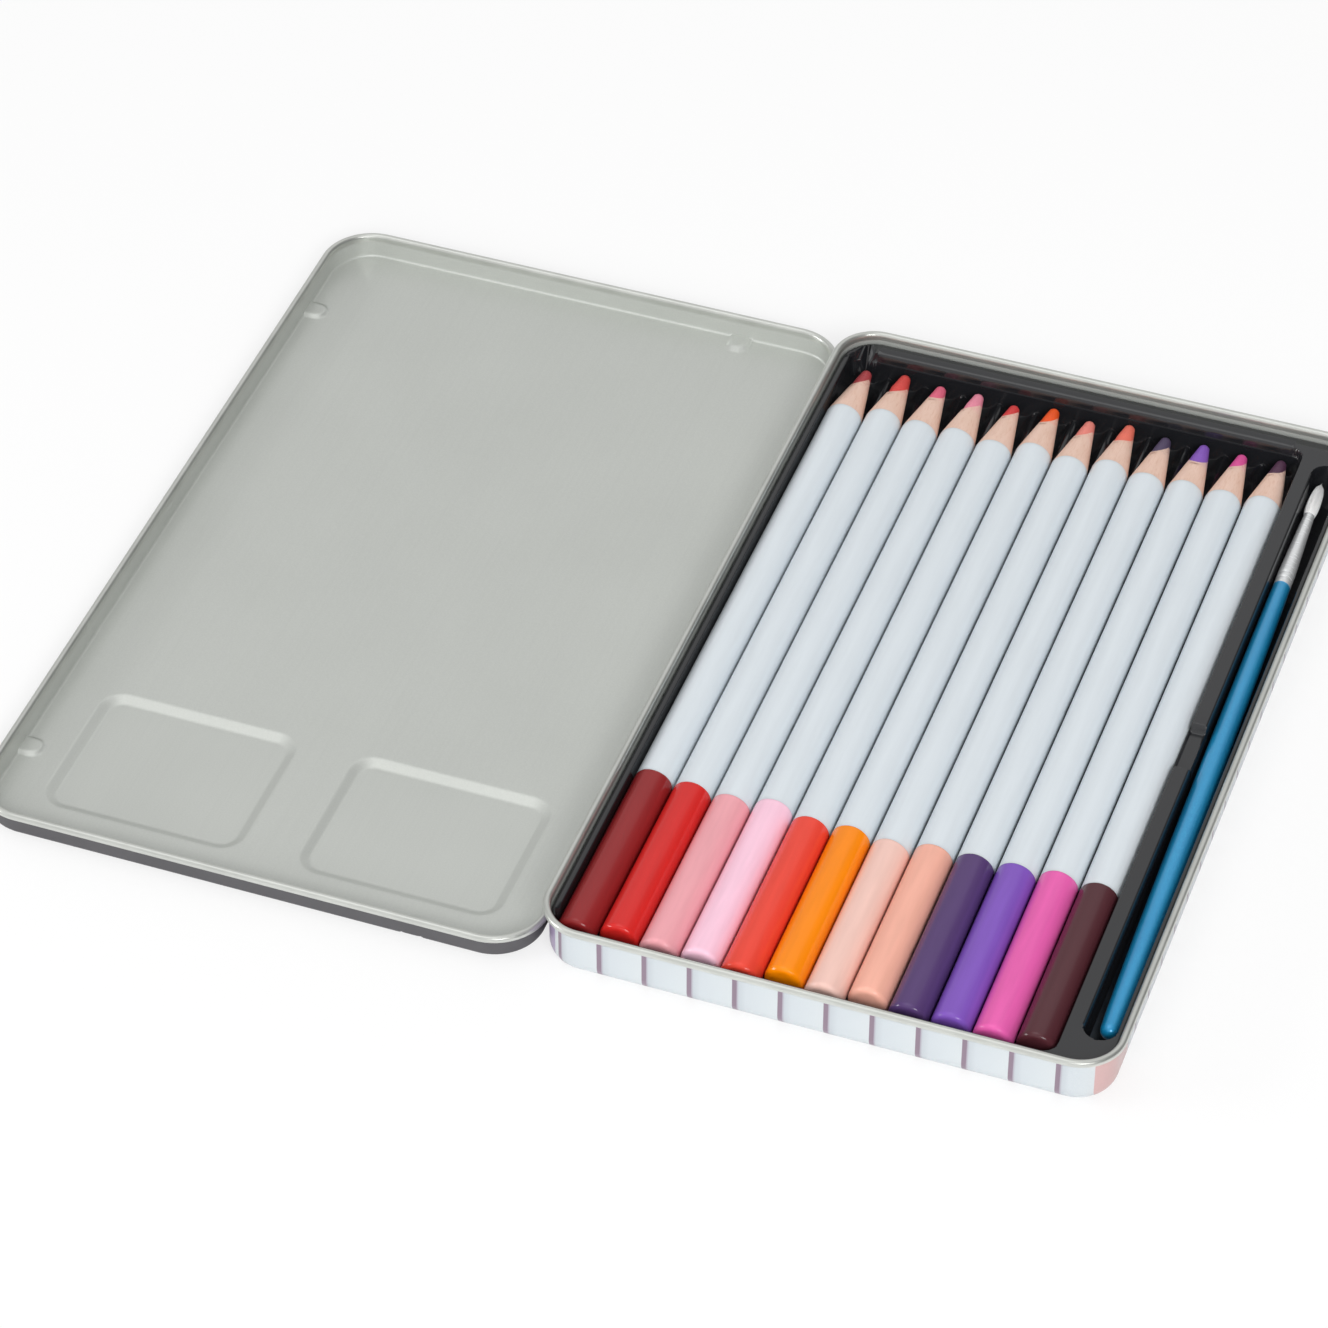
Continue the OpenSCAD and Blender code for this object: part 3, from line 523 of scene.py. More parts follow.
def blue_pearl_lacquer(tree, place):
    """Blue pearl lacquer on the turned handle: mica flakes in the colour, under a clear coat.

    It gives a bright, slightly metallic blue. The flakes are about 0.04 mm, drawn at 0.12 mm.
    """
    flake = add(tree, "TexNoise", {"Vector": place, "Scale": 1 / (0.12 * MM), "Detail": 1.0})
    run = add(tree, "TexNoise", {
        "Vector": add(tree, "Mapping", {"Vector": place, "Scale": per_mm(1.5, 24.0, 1.5)}),
        "Scale": 1.0})
    tone = add(tree, "ValToRGB", {"Fac": flake}, stops=((0.4, "#0A8DC6"), (0.75, "#2FB0DF")))
    runs = add(tree, "ValToRGB", {"Fac": run}, stops=((0.4, "#FFFFFF"), (0.8, "#DDECF2")))
    tone = add(tree, "Mix", {0: 1.0, MIX_A: tone, MIX_B: runs}, **MULTIPLY).outputs[MIXED]
    skin = add(tree, "Bump", {"Height": run, "Distance": 0.01 * MM})
    return add(tree, "BsdfPrincipled", {"Base Color": tone, "Metallic": 0.3,
                                        "Roughness": 0.3, "Coat Weight": 1.0,
                                        "Coat Roughness": 0.06, "Normal": skin})


def nickel_drawn_ferrule(tree, place):
    """Nickel-plated aluminium tube, drawn and crimped: bright, with fine marks round it.

    The marks are finer than 0.05 mm, and are drawn 0.15 mm wide so that they show.
    """
    turned = add(tree, "TexNoise", {
        "Vector": add(tree, "Mapping", {"Vector": place, "Scale": per_mm(1.8, 0.15, 1.8)}),
        "Scale": 1.0})
    stain = add(tree, "TexNoise", {"Vector": place, "Scale": 1 / (4.0 * MM), "Detail": 3.0})
    tone = add(tree, "ValToRGB", {"Fac": stain}, stops=((0.35, "#F2F4F5"), (0.7, "#E9EBED")))
    gloss = add(tree, "MapRange", {"Value": turned, **MIDDLE, "To Min": 0.22, "To Max": 0.28})
    marks = add(tree, "Bump", {"Height": turned, "Distance": 0.001 * MM})
    return add(tree, "BsdfPrincipled", {
        "Base Color": tone, "Metallic": 0.5, "Roughness": gloss, "Normal": marks})


def steel_drawn_wire(tree, place):
    """Steel wire, cold drawn and left bare: dull bright, with marks along it."""
    mark = add(tree, "TexNoise", {
        "Vector": add(tree, "Mapping", {"Vector": place, "Scale": per_mm(0.08, 1.6, 0.08)}),
        "Scale": 1.0})
    tone = add(tree, "ValToRGB", {"Fac": mark}, stops=((0.3, "#8F9397"), (0.7, "#B4B7BA")))
    gloss = add(tree, "MapRange", {"Value": mark, "To Min": 0.28, "To Max": 0.45})
    return add(tree, "BsdfPrincipled", {"Base Color": tone, "Metallic": 1.0, "Roughness": gloss})


def white_nylon_filament(tree, place):
    """White nylon filament, extruded: smooth and bright, in separate strands."""
    strand = add(tree, "TexNoise", {
        "Vector": add(tree, "Mapping", {"Vector": place, "Scale": per_mm(0.1, 6.0, 0.1)}),
        "Scale": 1.0, "Detail": 1.0})
    tone = add(tree, "ValToRGB", {"Fac": strand}, stops=((0.3, "#FFFFFF"), (0.7, "#FCFCFB")))
    return add(tree, "BsdfPrincipled", {"Base Color": tone, "Roughness": 0.3})


# -------------------- tin

def rim_profile(pan, floor):
    """Profile (rho, z) from the floor over the foot radius, up the wall and round the rolled rim."""
    corner, foot = pan["corner"], pan["foot"]
    wall = corner - 2 * BEAD_R
    floor_run = np.column_stack([np.linspace(pan["patch"], wall - foot, 4), np.full(4, floor)])
    foot_arc = arc((wall - foot, floor + foot), foot, -90, 0, 9)[1:]
    wall_top = pan["rim_z"] - BEAD_R
    wall_run = np.column_stack([np.full(10, wall), np.linspace(floor + foot, wall_top, 11)[1:]])
    curl = arc((corner - BEAD_R, wall_top), BEAD_R, 180, CURL_END, 22)[1:]
    return np.concatenate([floor_run, foot_arc, wall_run, curl])


def pan_lines(pan, step, x_bands=(), y_bands=()):
    """A pan's grid lines along x and along y, with finer lines in its corners and in the bands."""
    found = []
    for half, bands in zip(pan["half"], (x_bands, y_bands)):
        straight = half - pan["corner"]
        reach = straight + pan["patch"]
        corners = wall_bands(0.0, straight, 0.0, pan["patch"], 9)
        found.append(lines(-reach, reach, step, *corners, *bands))
    return found


def lid_shape(points, row):
    """Presses the wells down, the stop dimples up, and the snap pip inwards.

    A well sinks by its depth over its slope, a dimple is a capsule from the wall to its nose,
    and the pip is a sine cap in the wall.
    """
    x, y, z = points.T.copy()
    touch = 0.01
    flat = z < LID_FLOOR + touch
    for centre in WELL_CENTRES:
        inside = -box_distance(x, y, centre, WELL_HALF, WELL_CORNER)
        z = z - np.where(flat, WELL_DEPTH * pressed(inside / WELL_SLOPE), 0.0)
    side, end = (h - 2 * BEAD_R for h in LID["half"])
    top = LID_FLOOR + DIMPLE_TOP
    # Each dimple's foot on a wall, and its direction from there
    dimples = ((-side, DIMPLE_Y, 1, 0), (-side, -DIMPLE_Y, 1, 0),
               (DIMPLE_X, end, 0, -1), (DIMPLE_X, -end, 0, 1))
    for sx, sy, dx, dy in dimples:
        along = np.clip((x - sx) * dx + (y - sy) * dy, 0.0, DIMPLE_NOSE)
        away = np.hypot(x - sx - along * dx, y - sy - along * dy)
        rise = smooth((DIMPLE_R - away) / DIMPLE_FLANK)
        z = np.where(z < top, z + (top - z) * rise, z)
    on_wall = (row > 0) & (x < -side + touch) & (x > -side - touch)
    cap = np.clip(1.0 - np.hypot(y, z - PIP_Z) / PIP_R, 0.0, 1.0)
    x = x + np.where(on_wall, PIP_RISE * np.sin(cap * np.pi / 2), 0.0)
    return np.column_stack([x, y, z])


def make_lid(inside, rim, outside):
    """The lid, lying open: one drawn sheet with two wells, four dimples, a pip and two notches."""
    within, beyond = 6.0, 0.4
    well_x = [band for x, _ in WELL_CENTRES for band in wall_bands(x, WELL_HALF[0], within, beyond, 20)]
    well_y = wall_bands(WELL_CENTRES[0][1], WELL_HALF[1], within, beyond, 20)
    notches = [band for y in HINGE_Y for band in wall_bands(y, NOTCH_HALF, 0.0, 0.3, 2)]
    around = DIMPLE_R + 0.7
    side_dimples = wall_bands(0.0, DIMPLE_Y, around, around, 17)
    end_dimples = (DIMPLE_X - around, DIMPLE_X + around, 17)
    floor_edge = LID["corner"] - LID["half"][0] - LID["patch"]
    noses = (floor_edge, floor_edge + 2.0, 5)
    pip = (-PIP_R - 0.1, PIP_R + 0.1, 9)
    xs, ys = pan_lines(LID, 4.0, [*well_x, end_dimples, noses], [*well_y, *notches, *side_dimples, pip])
    points, quads, uv = pan_surface(xs, ys, LID, rim_profile(LID, LID_FLOOR), lid_shape)
    x, y, z = points[quads].mean(axis=1).T
    at_knuckles = np.any([np.abs(y - hinge_y) < NOTCH_HALF for hinge_y in HINGE_Y], axis=0)
    keep = ~(at_knuckles & (x > LID["half"][0] - NOTCH_DEPTH) & (z > HINGE_Z - NOTCH_DROP))
    on_rim = z > LID["rim_z"] - 2 * BEAD_R
    piece = build("lid_sheet", points + np.array([LID_X, 0.0, 0.0]), quads[keep], "lid", ["lid_shell"],
                  [inside, rim, outside, outside], on_rim[keep], uv[keep], 50.0)
    sheet_thickness(piece, TIN, 2)


def make_tray(inside, rim, outside):
    """The tray: one drawn sheet with a plain floor, printed on its outside."""
    xs, ys = pan_lines(TRAY, 6.0)
    points, quads, uv = pan_surface(xs, ys, TRAY, rim_profile(TRAY, TIN))
    on_rim = points[quads].mean(axis=1)[:, 2] > TRAY["rim_z"] - 2 * BEAD_R
    piece = build("tray_sheet", points, quads, "tray", ["tray_shell"],
                  [inside, rim, outside, outside], on_rim, uv, 50.0)
    sheet_thickness(piece, TIN, 2)


def bent_strip(path, y_low, y_high):
    """Carries a path (x, z) along Y from y_low to y_high as one strip."""
    x, z = np.repeat(path, 2, axis=0).T
    return np.stack([x, np.tile([y_low, y_high], len(path)), z], -1), grid_quads(len(path), 2)


def make_knuckles(name, body, stands_for, tongue, start, turn, spans, material):
    """Rolled knuckles: a tongue that leaves the wall and rolls round the pin by `turn` degrees."""
    roll = arc((0.0, 0.0), KNUCKLE_MID_R, start, start + turn, 30)
    path = np.concatenate([tongue, roll]) + np.array([HINGE_X, HINGE_Z])
    strips = [bent_strip(path, y + a, y + b) for y in HINGE_Y for a, b in spans]
    points = np.concatenate([p for p, _ in strips])
    quads = np.concatenate([q + k * 2 * len(path) for k, (_, q) in enumerate(strips)])
    piece = build(name, points, quads, body, [stands_for], [material], crease=50.0)
    sheet_thickness(piece, KNUCKLE_T, 0, 0.0)
    bevel = piece.modifiers.new("edge", "BEVEL")
    bevel.width = KNUCKLE_EDGE * MM
    bevel.segments = 2


def make_hinges(material):
    """Two stations, each with two knuckles of the tray and one of the lid between them.

    The tongues' points are (x, z) from the pin, and the spans are along Y from the station.
    """
    inner = LID_KNUCKLE / 2
    outer = inner + KNUCKLE_GAP
    tray_tongue = np.column_stack([np.linspace(1.85, 0.15, 5), np.full(5, -KNUCKLE_MID_R)])
    lid_tongue = [(-0.05, -2.0), (-0.05, -1.5), (-0.06, -1.2), (-0.1, -0.95), (-0.17, -0.75)]
    make_knuckles("tray_knuckles", "tray", "tray_shell", tray_tongue, -90, -325,
                  [(outer, outer + TRAY_KNUCKLE), (-outer - TRAY_KNUCKLE, -outer)], material)
    make_knuckles("lid_knuckle", "lid", "lid_shell", lid_tongue, 245, -320, [(-inner, inner)], material)


# -------------------- insert

def follow(x, y, centre, half, corner, width):
    """Slides the points near a rounded outline along its normal, onto the nearest of its offset lines.

    The lines are a quarter of `width` apart, from one outside to one past `width` inside, so the
    grid's edges run along the curved wall instead of across it.
    """
    step, e = width / 4, 1e-3
    d = box_distance(x, y, centre, half, corner)
    gx = (box_distance(x + e, y, centre, half, corner) - d) / e
    gy = (box_distance(x, y + e, centre, half, corner) - d) / e
    slide = np.where((d > -width - step) & (d < step), np.round(d / step) * step - d, 0.0)
    curved = (np.abs(x - centre[0]) > half[0] - corner) & (np.abs(y - centre[1]) > half[1] - corner)
    return x + gx * slide * curved, y + gy * slide * curved


def insert_shape(points, row):
    """The deck falls to the grooved bay, the brush slot and the scoop.

    Each hollow is the deck height minus a smooth step of the signed distance to its outline,
    and the bay's floor is a row of arcs about the pencils' axes, blunted where they meet a ridge.
    """
    x, y, z = points.T.copy()
    on_deck = row == 0
    for outline, width in ((BAY, BAY_WALL), (SLOT, SLOT_WALL)):
        near = on_deck & (box_distance(x, y, **outline) > -2.0 * width)
        new_x, new_y = follow(x, y, **outline, width=width)
        x, y = np.where(near, new_x, x), np.where(near, new_y, y)
    place = (x - FIRST_X + PENCIL_PITCH / 2) % PENCIL_PITCH - PENCIL_PITCH / 2
    arcs = PENCIL_Z - np.sqrt(np.maximum(GROOVE_R ** 2 - place ** 2, 0.0))
    share = np.clip(0.5 + (RIDGE_Z - arcs) / (2 * RIDGE_BLUNT), 0.0, 1.0)
    grooves = RIDGE_Z * (1 - share) + arcs * share - RIDGE_BLUNT * share * (1 - share)
    hollow = SLOT_Z + SLOT_HOLLOW * ((x - SLOT["centre"][0]) / SLOT["half"][0]) ** 2
    deck = np.full_like(z, DECK_Z)
    for outline, bottom, width in ((BAY, LEDGE_Z, BAY_WALL), (BAY_LOW, grooves, BAY_LOW_WALL),
                                   (SLOT, hollow, SLOT_WALL), (SCOOP, SCOOP_Z, SCOOP_WALL)):
        step = smooth(-box_distance(x, y, **outline) / width)
        deck = np.minimum(deck, DECK_Z + (bottom - DECK_Z) * step)
    return np.column_stack([x, y, np.where(on_deck, deck, z)])


def make_insert(material):
    """The insert: one formed sheet with a skirt, a grooved bay, a brush slot and a scoop."""
    patch = INSERT["corner"] - DECK_R
    reach = [h - DECK_R for h in INSERT["half"]]
    edge = arc((patch, DECK_Z - DECK_R), DECK_R, 90, 0, 6)[1:]
    skirt = np.column_stack([np.full(4, INSERT["corner"]), np.linspace(DECK_Z - DECK_R, SKIRT_Z, 5)[1:]])
    profile = np.concatenate([[(patch, DECK_Z)], edge, skirt])

    def walls(outline, axis, within, count):
        return wall_bands(outline["centre"][axis], outline["half"][axis], within, 0.1, count)

    last_x = FIRST_X + PENCIL_PITCH * (len(PENCILS) - 1)
    grooves = (FIRST_X - GROOVE_R, last_x + GROOVE_R, 11 * len(PENCILS))
    land = (43.5, 47.0, 16)
    scoop_y, scoop_half = SCOOP["centre"][1], SCOOP["half"][1] + 0.1
    scoop = (scoop_y - scoop_half, scoop_y + scoop_half, 12)
    xs = lines(-reach[0], reach[0], 3.0, grooves, land, *walls(BAY, 0, 3.0, 17), *walls(SLOT, 0, 3.2, 17))
    ys = lines(-reach[1], reach[1], 5.0, scoop, *walls(BAY, 1, 3.2, 20), *walls(BAY_LOW, 1, 0.7, 8),
               *walls(SLOT, 1, 3.6, 20), *walls(SCOOP, 1, 1.6, 14))
    points, quads, _ = pan_surface(xs, ys, INSERT, profile, insert_shape)
    piece = build("insert_sheet", points, quads, "insert", ["insert_tray"], [material], crease=60.0)
    sheet_thickness(piece, SHEET, 0, even=False)


# -------------------- pencils

def wave(seed, size, tongue=0.0):
    """A closed wave round a pencil: three sines with seeded phases, plus a tongue.

    The tongue reaches back by `tongue` near the top, as the cosine of the angle from a seeded middle,
    and the rest of the edge stands forward by half as much.
    """
    angle = np.linspace(0.0, 2 * np.pi, CASING_SEGMENTS, endpoint=False)
    random = np.random.default_rng(seed)
    phase = random.uniform(0, 2 * np.pi, 3)
    middle = np.pi / 2 + random.uniform(0.0, 0.7)
    ripple = sum(np.sin((k + 2) * angle + phase[k]) / (k + 2) for k in range(3))
    reach = np.clip(np.cos(angle - middle), 0.0, 1.0)
    return size * ripple - tongue * (reach - 0.5)


def core_wave(index):
    """The wave of the edge between a pencil's wood and its core."""
    return wave(70 + index, 0.2, TONGUE)


def cone_radius(along):
    """Radius of the sharpened cone at a distance from the blunt end."""
    start = PENCIL_L - CONE_L
    return BARREL_R - (BARREL_R - TIP_R) * (along - start) / CONE_L


def under_cone(depth, limit):
    """A radius rule: the cone's radius less `depth`, and never more than `limit`."""
    return lambda along: np.minimum(cone_radius(along) - depth, limit)


def pencil_surface(index, rows):
    """Turns rows (radius, distance, wave) about a pencil's axis and puts them in its groove.

    A row lies at distance + wave, and its radius may be a rule of that. Returns the points, the
    quads and where the rows lie.
    """
    at = np.stack([along + edge for _, along, edge in rows])
    radii = [r(y) if callable(r) else np.full_like(y, r) for (r, _, _), y in zip(rows, at)]
    points, quads = turned_surface(radii, at, at.shape[1])
    shift = PENCIL_SLIDE * PENCILS[index][3]
    return points + np.array([FIRST_X + index * PENCIL_PITCH, PENCIL_Y + shift, PENCIL_Z]), quads, at


def make_casing(index, lacquer, dip, wood):
    """Wooden casing: blunt dome, dipped coat with its step, lacquered barrel, sharpened cone.

    The profile is turned about the axis, and some of its rows wander along the axis: those at the
    edge of the dipped coat, at the edge of the lacquer, and at the edge of the wood at the core.
    """
    name, _, _, _, dip_share, core_out = PENCILS[index]
    dip_end = DIP_L + DIP_SPREAD * dip_share
    cone = PENCIL_L - CONE_L
    core_edge = PENCIL_L - core_out
    bore = CORE_R + CORE_GLUE
    still = np.zeros(CASING_SEGMENTS)
    dip_wave, lacquer_wave, wood_wave = wave(10 + index, 0.07), wave(40 + index, 0.14, 0.1), core_wave(index)
    dipped = [(r, 0.0, still) for r in np.linspace(0.0, PENCIL_R - END_R, 6)[:-1]]
    dipped += [(r, a, still) for r, a in arc((PENCIL_R - END_R, END_R), END_R, -90, 0, 9)]
    dipped += [(PENCIL_R, a, still) for a in np.linspace(END_R, dip_end - 0.3, 6)[1:]]
    dipped += [(PENCIL_R, dip_end - 0.06, dip_wave), (BARREL_R, dip_end, dip_wave)]
    barrel = [(BARREL_R, a, still) for a in np.linspace(dip_end + 0.6, cone - 1.0, 10)]
    barrel += [(BARREL_R, cone - 0.05, lacquer_wave), (BARREL_R - LACQUER_T, cone + 0.02, lacquer_wave)]
    bare = [(cone_radius, a, still) for a in np.linspace(cone + 0.7, core_edge - 2.2, 9)]
    bare += [(cone_radius, core_edge + a, wood_wave) for a in (-1.0, 0.0)]
    bare += [(under_cone(d, bore), core_edge + a, wood_wave) for d, a in ((0.16, -0.05), (0.35, -1.6))]
    bare += [(bore, cone + 1.0, still), (bore, PLUG_L, still), (0.0, PLUG_L, still)]
    points, quads, at = pencil_surface(index, dipped + barrel + bare)
    row_slots = np.repeat([0, 1, 2], [len(dipped), len(barrel), len(bare)])
    slots = np.repeat(row_slots[1:], CASING_SEGMENTS)
    close = np.clip(1.0 - (core_edge - at) / SMUDGE_L, 0.0, 1.0)
    uv_points = np.stack([np.zeros_like(close), close], -1).reshape(-1, 2)
    pencil = f"pencil_{index + 1:02d}"
    build(f"casing_{name}", points, quads, pencil, [f"{pencil}_casing"], [dip, lacquer, wood],
          slots, uv_points[quads], 45.0)


def make_core(index, material):
    """Core: a rod inside the wood that becomes the cone's end, with a worn round tip."""
    core_edge = PENCIL_L - PENCILS[index][5]
    still = np.zeros(CORE_SEGMENTS)
    casing_at = np.arange(CORE_SEGMENTS) * CASING_SEGMENTS / CORE_SEGMENTS
    edge = np.interp(casing_at, np.arange(CASING_SEGMENTS), core_wave(index), period=CASING_SEGMENTS)
    start = PLUG_L + 0.1
    rows = [(0.0, start, still), (CORE_R, start, still), (CORE_R, PENCIL_L - CONE_L + 0.9, still)]
    rows += [(under_cone(d, CORE_R), core_edge + a, edge)
             for d, a in ((0.5, -1.8), (0.22, -0.3), (0.03, -0.02), (0.01, 0.1))]
    rows += [(cone_radius, a, still) for a in np.linspace(core_edge + 1.3, PENCIL_L - WORN_L, 8)]
    worn = np.radians([12, 32, 52, 72, 90])
    tip = zip(TIP_R * np.cos(worn) ** 0.9, PENCIL_L - WORN_L * (1 - np.sin(worn)))
    rows += [(r, a, still) for r, a in tip]
    points, quads, _ = pencil_surface(index, rows)
    pencil = f"pencil_{index + 1:02d}"
    build(f"core_{PENCILS[index][0]}", points, quads, pencil, [f"{pencil}_core"], [material], crease=45.0)


# -------------------- brush

def laid_in_slot(points):
    """Turns points on the brush's axis by its yaw about the middle and puts them in the slot."""
    a = np.radians(BRUSH_YAW)
    x, y, z = (points - np.array([0.0, BRUSH_L / 2, 0.0])).T
    turned = np.column_stack([x * np.cos(a) - y * np.sin(a), x * np.sin(a) + y * np.cos(a), z])
    return turned + np.array([BRUSH_X, BRUSH_Y + BRUSH_L / 2, BRUSH_Z])


def make_handle(material):
    """Handle: the radius runs from the round end to the neck, plus a bell of sin(180 u^0.8)^0.8."""
    u = np.linspace(0.0, 1.0, 40)
    base = HANDLE_END_R * (1 - u) + HANDLE_NECK_R * u
    body = base + (HANDLE_R - (HANDLE_END_R + HANDLE_NECK_R) / 2) * np.sin(np.pi * u ** 0.8) ** 0.8
    end = arc((0.0, HANDLE_END_R), HANDLE_END_R, -90, 0, 12)[:-1]
    shoulder = HANDLE_L + 0.02
    radii = np.concatenate([end[:, 0], body, [HANDLE_NECK_R - 0.3, 0.0]])
    along = np.concatenate([end[:, 1], HANDLE_END_R + u * (HANDLE_L - HANDLE_END_R), [shoulder] * 2])
    points, quads = turned_surface(radii, along)
    build("handle_turned", laid_in_slot(points), quads, "brush", ["brush_handle"], [material])


def make_ferrule(material):
    """Ferrule: a straight tube with two crimped rings, then a taper to a turned-in mouth."""
    wide = HANDLE_NECK_R + FERRULE_T
    a = np.concatenate([np.linspace(0.0, FERRULE_STRAIGHT, 70),
                        np.linspace(FERRULE_STRAIGHT + 0.8, FERRULE_L, 16)])
    r = np.interp(a, [FERRULE_STRAIGHT, FERRULE_L], [wide, MOUTH_R])
    for spot in CRIMPS:
        r = r - CRIMP_DEPTH * smooth(1.0 - np.abs(a - spot) / CRIMP_HALF)
    along = np.concatenate([[0.0, 0.0], a, [FERRULE_L + 0.02, FERRULE_L - 3.0, FERRULE_L - 3.0]])
    radii = np.concatenate([[0.0, HANDLE_NECK_R - 0.15], r, [MOUTH_R - 0.12, MOUTH_R - 0.15, 0.0]])
    points, quads = turned_surface(radii, along + HANDLE_L)
    build("ferrule_tube", laid_in_slot(points), quads, "brush", ["brush_ferrule"], [material])


def make_hair(material):
    """Hair: filaments rooted on a sunflower disc, swelling to the belly and meeting at the point.

    Filament k sits at share sqrt(k / n) of the tuft's radius and at k golden angles. The tuft's
    radius rises as a sine from the root to the belly, then falls as sqrt(1 - t^2.6) to a blunt point.
    """
    count, rings, sides = 420, 9, 4
    k = np.arange(count)
    share = np.sqrt((k + 0.5) / count)
    turn = k * np.pi * (3 - 5 ** 0.5)
    rng = np.random.default_rng(5)
    reach = HAIR_L * (1.0 - 0.07 * rng.random(count) - 0.02 * share)
    u = np.linspace(0.0, 1.0, rings)
    root = MOUTH_R - 0.2
    swell = root + (HAIR_R - root) * np.sin(np.pi / 2 * np.clip(u / BELLY, 0, 1))
    fall = np.sqrt(1.0 - np.clip((u - BELLY) / (1.0 - BELLY), 0, 1) ** 2.6)
    tuft = np.where(u < BELLY, swell, HAIR_R * np.maximum(fall, 0.04))
    r = share[:, None] * tuft[None] - HAIR_T / 2
    sway = 0.05 * rng.normal(size=(count, 2))[:, None, :] * np.sin(np.pi * u)[None, :, None]
    cx = r * np.cos(turn)[:, None] + sway[..., 0]
    cz = r * np.sin(turn)[:, None] + sway[..., 1]
    cy = u[None] * reach[:, None] - HAIR_ROOT * (1 - u)[None]
    thick = HAIR_T * (1.0 - 0.7 * u)
    a = np.arange(sides) * 2 * np.pi / sides
    px = cx[..., None] + thick[None, :, None] * np.cos(a)
    pz = cz[..., None] + thick[None, :, None] * np.sin(a)
    py = np.broadcast_to(cy[..., None], px.shape)
    points = np.stack([px, py, pz], -1).reshape(-1, 3) + np.array([0.0, HANDLE_L + FERRULE_L, 0.0])
    one = grid_quads(rings, sides, wrap=True)[:, ::-1]
    ends = np.array([[0, 1, 2, 3], [(rings - 1) * sides + s for s in (3, 2, 1, 0)]])
    quads, caps = ((part[None] + (k * rings * sides)[:, None, None]).reshape(-1, 4) for part in (one, ends))
    build("hair_tuft", laid_in_slot(points), np.concatenate([quads, caps]), "brush",
          ["brush_hair"], [material])


# -------------------- stage

def pale_table(tree, place):
    """A matt white board: it looks white where it is lit, and it keeps the tin's shadow."""
    cloud = add(tree, "TexNoise", {"Vector": place, "Scale": 1 / (400.0 * MM), "Detail": 1.0})
    tone = add(tree, "ValToRGB", {"Fac": cloud}, stops=((0.3, "#FFFFFF"), (0.7, "#FCFCFC")))
    board = add(tree, "BsdfPrincipled", {"Base Color": tone, "Roughness": 0.9, "Specular IOR Level": 0.2})
    white = add(tree, "Emission", {"Color": "#FFFFFF"})
    path = add(tree, "LightPath").outputs
    share = add(tree, "Math", {0: path["Is Camera Ray"], 1: 0.7}, operation="MULTIPLY")
    return add(tree, "MixShader", {0: share, 1: board, 2: white})


def make_floor():
    """A plain pale floor just under the tin."""
    mesh = bpy.data.meshes.new("floor")
    corners = [(x * FLOOR_HALF, y * FLOOR_HALF, FLOOR_Z) for x, y in ((-1, -1), (1, -1), (1, 1), (-1, 1))]
    mesh.from_pydata(corners, [], [(0, 1, 2, 3)])
    floor = new_object("floor", mesh)
    mesh.materials.append(make_material(pale_table))


def make_world():
    """A soft even fill, white behind the tin, and in gloss a room that is pale on the lid's side.

    It darkens towards +X, so rounded pieces have a sheen on one side and full colour on the other.
    """
    world = bpy.data.worlds.new("studio")
    bpy.context.scene.world = world
    world.use_nodes = True
    tree = world.node_tree
    tree.nodes.clear()
    path = add(tree, "LightPath").outputs
    towards = add(tree, "SeparateXYZ", {"Vector": add(tree, "TexCoord").outputs["Generated"]})
    across = add(tree, "MapRange", {"Value": towards.outputs[0], "From Min": -1.0})
    levels = ((0.0, 0.5), (1.0, 0.05), (0.15, 0.5), (0.36, 0.75), (0.52, 0.75), (0.64, 0.66),
              (0.73, 0.26), (0.84, 0.08))
    walls = add(tree, "ValToRGB", {"Fac": across}, stops=[(x, colour("#FFFFFF", v)) for x, v in levels])
    fill = add(tree, "Background", {"Color": "#FFFFFF", "Strength": 0.47})
    sheen = add(tree, "Background", {"Color": walls})
    white = add(tree, "Background", {"Color": "#FFFFFF"})
    straight, through = path["Is Camera Ray"], path["Is Transmission Ray"]
    behind = add(tree, "Math", {0: straight, 1: through}, operation="MAXIMUM")
    room = add(tree, "MixShader", {0: path["Is Glossy Ray"], 1: fill, 2: sheen})
    both = add(tree, "MixShader", {0: behind, 1: room, 2: white})
    add(tree, "OutputWorld", {"Surface": both})


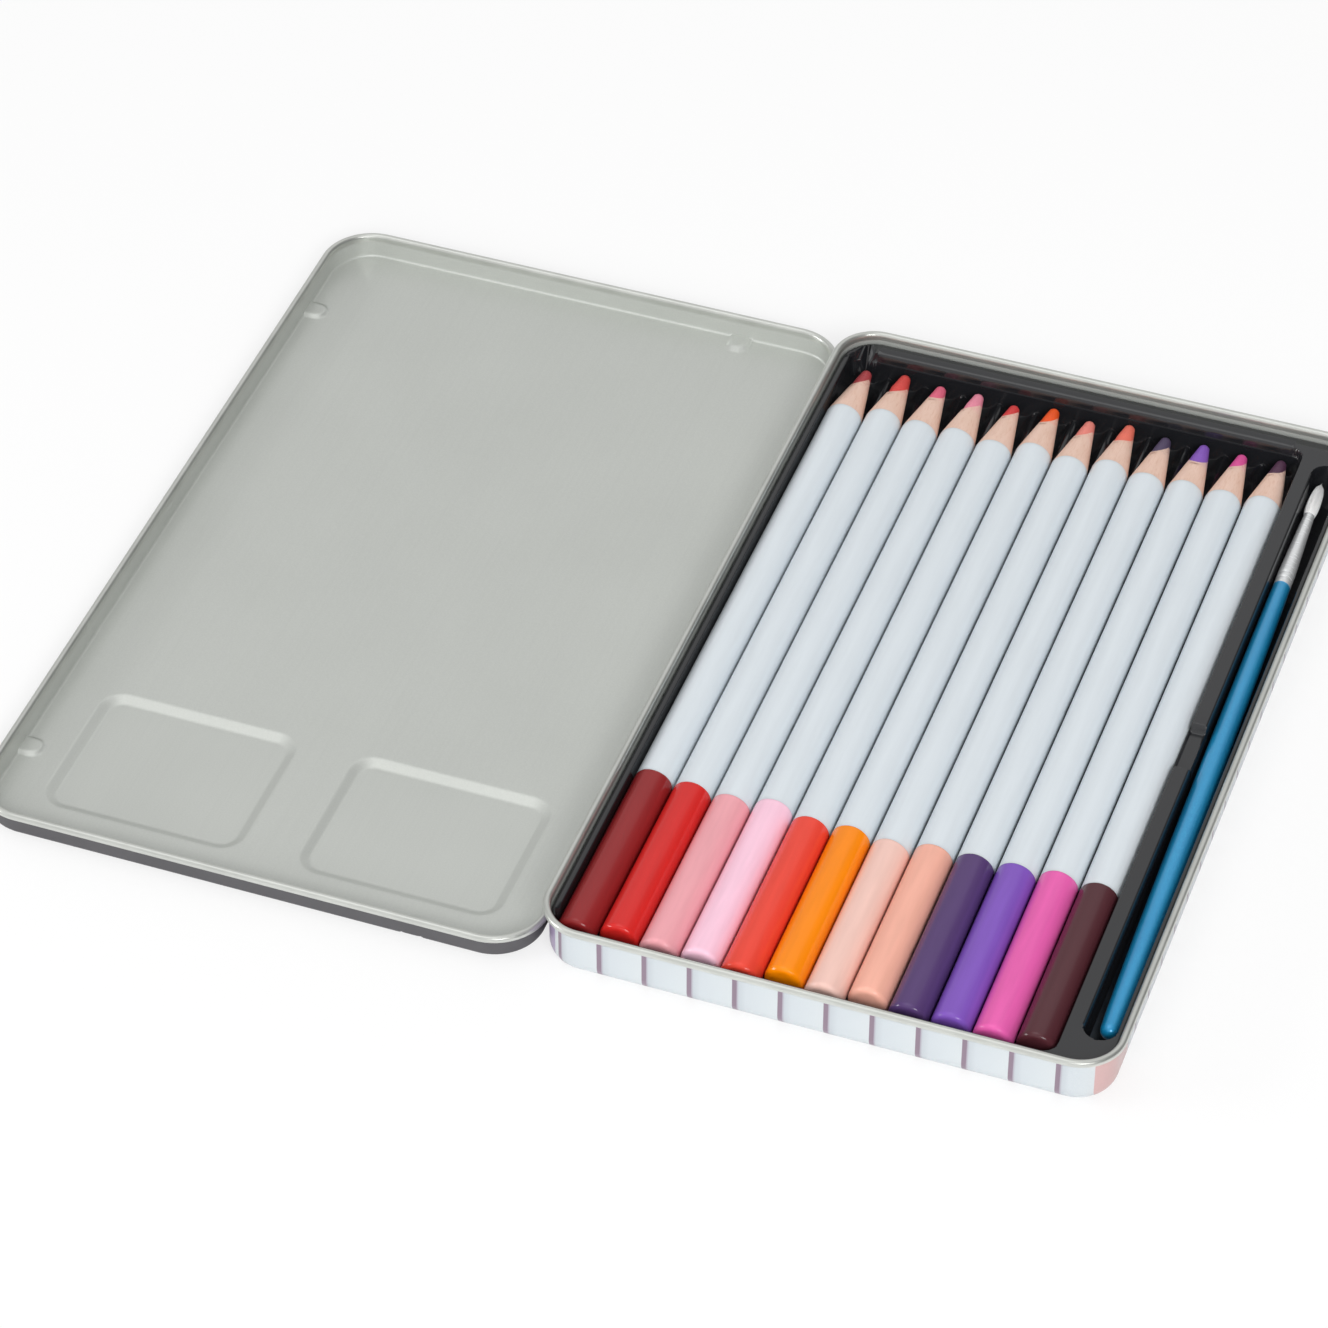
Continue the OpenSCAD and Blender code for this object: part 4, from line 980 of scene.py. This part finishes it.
def make_light(name, place, size, power, in_gloss):
    """A soft rectangular lamp aimed at the middle of the tin."""
    data = bpy.data.lights.new(name, "AREA")
    data.shape = "RECTANGLE"
    data.size, data.size_y = size
    data.energy = power
    lamp = new_object(name, data)
    lamp.location = place
    lamp.visible_glossy = in_gloss
    lamp.rotation_euler = (LAMP_AIM - Vector(place)).to_track_quat("-Z", "Y").to_euler()


def make_camera():
    """A long lens from the front, to the right and above."""
    data = bpy.data.cameras.new("camera")
    data.sensor_width = 36.0
    data.lens = CAMERA_LENS
    data.clip_start, data.clip_end = 0.05, 20.0
    camera = new_object("camera", data)
    camera.location = CAMERA_PLACE
    around, up = np.radians([CAMERA_AZIMUTH, CAMERA_ELEVATION])
    back = Vector((np.sin(around) * np.cos(up), -np.cos(around) * np.cos(up), np.sin(up)))
    camera.rotation_euler = (-back).to_track_quat("-Z", "Y").to_euler()
    bpy.context.scene.camera = camera


# -------------------- the tin

make_camera()
make_floor()
make_world()
for lamp in LAMPS:
    make_light(*lamp)

rim = make_material(silver_rolled_rim)
make_lid(make_material(silver_roller_coat, name="silver_roller_coat_lid"), rim,
         make_material(charcoal_stoved_lacquer))
make_tray(make_material(silver_roller_coat, name="silver_roller_coat_tray"), rim,
          make_material(striped_offset_print))
make_hinges(rim)
make_insert(make_material(vacuum_formed_styrene))

white_lacquer = make_material(barrel_white_lacquer)
for number, (tone, dip_hex, core_hex, *_) in enumerate(PENCILS):
    dip = make_material(dipped_lacquer, dip_hex, name=f"dipped_{tone}_lacquer")
    wood = make_material(sharpened_basswood, core_hex, name=f"sharpened_basswood_{tone}")
    make_casing(number, white_lacquer, dip, wood)
    make_core(number, make_material(pressed_pigment_core, core_hex, name=f"pressed_pigment_core_{tone}"))

make_handle(make_material(blue_pearl_lacquer))
make_ferrule(make_material(nickel_drawn_ferrule))
make_hair(make_material(white_nylon_filament))

wire = make_material(steel_drawn_wire)
for pin in ("hinge_pin_near", "hinge_pin_far"):
    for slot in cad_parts[pin].material_slots:
        slot.material = wire

bpy.context.scene.view_settings.view_transform = "Standard"
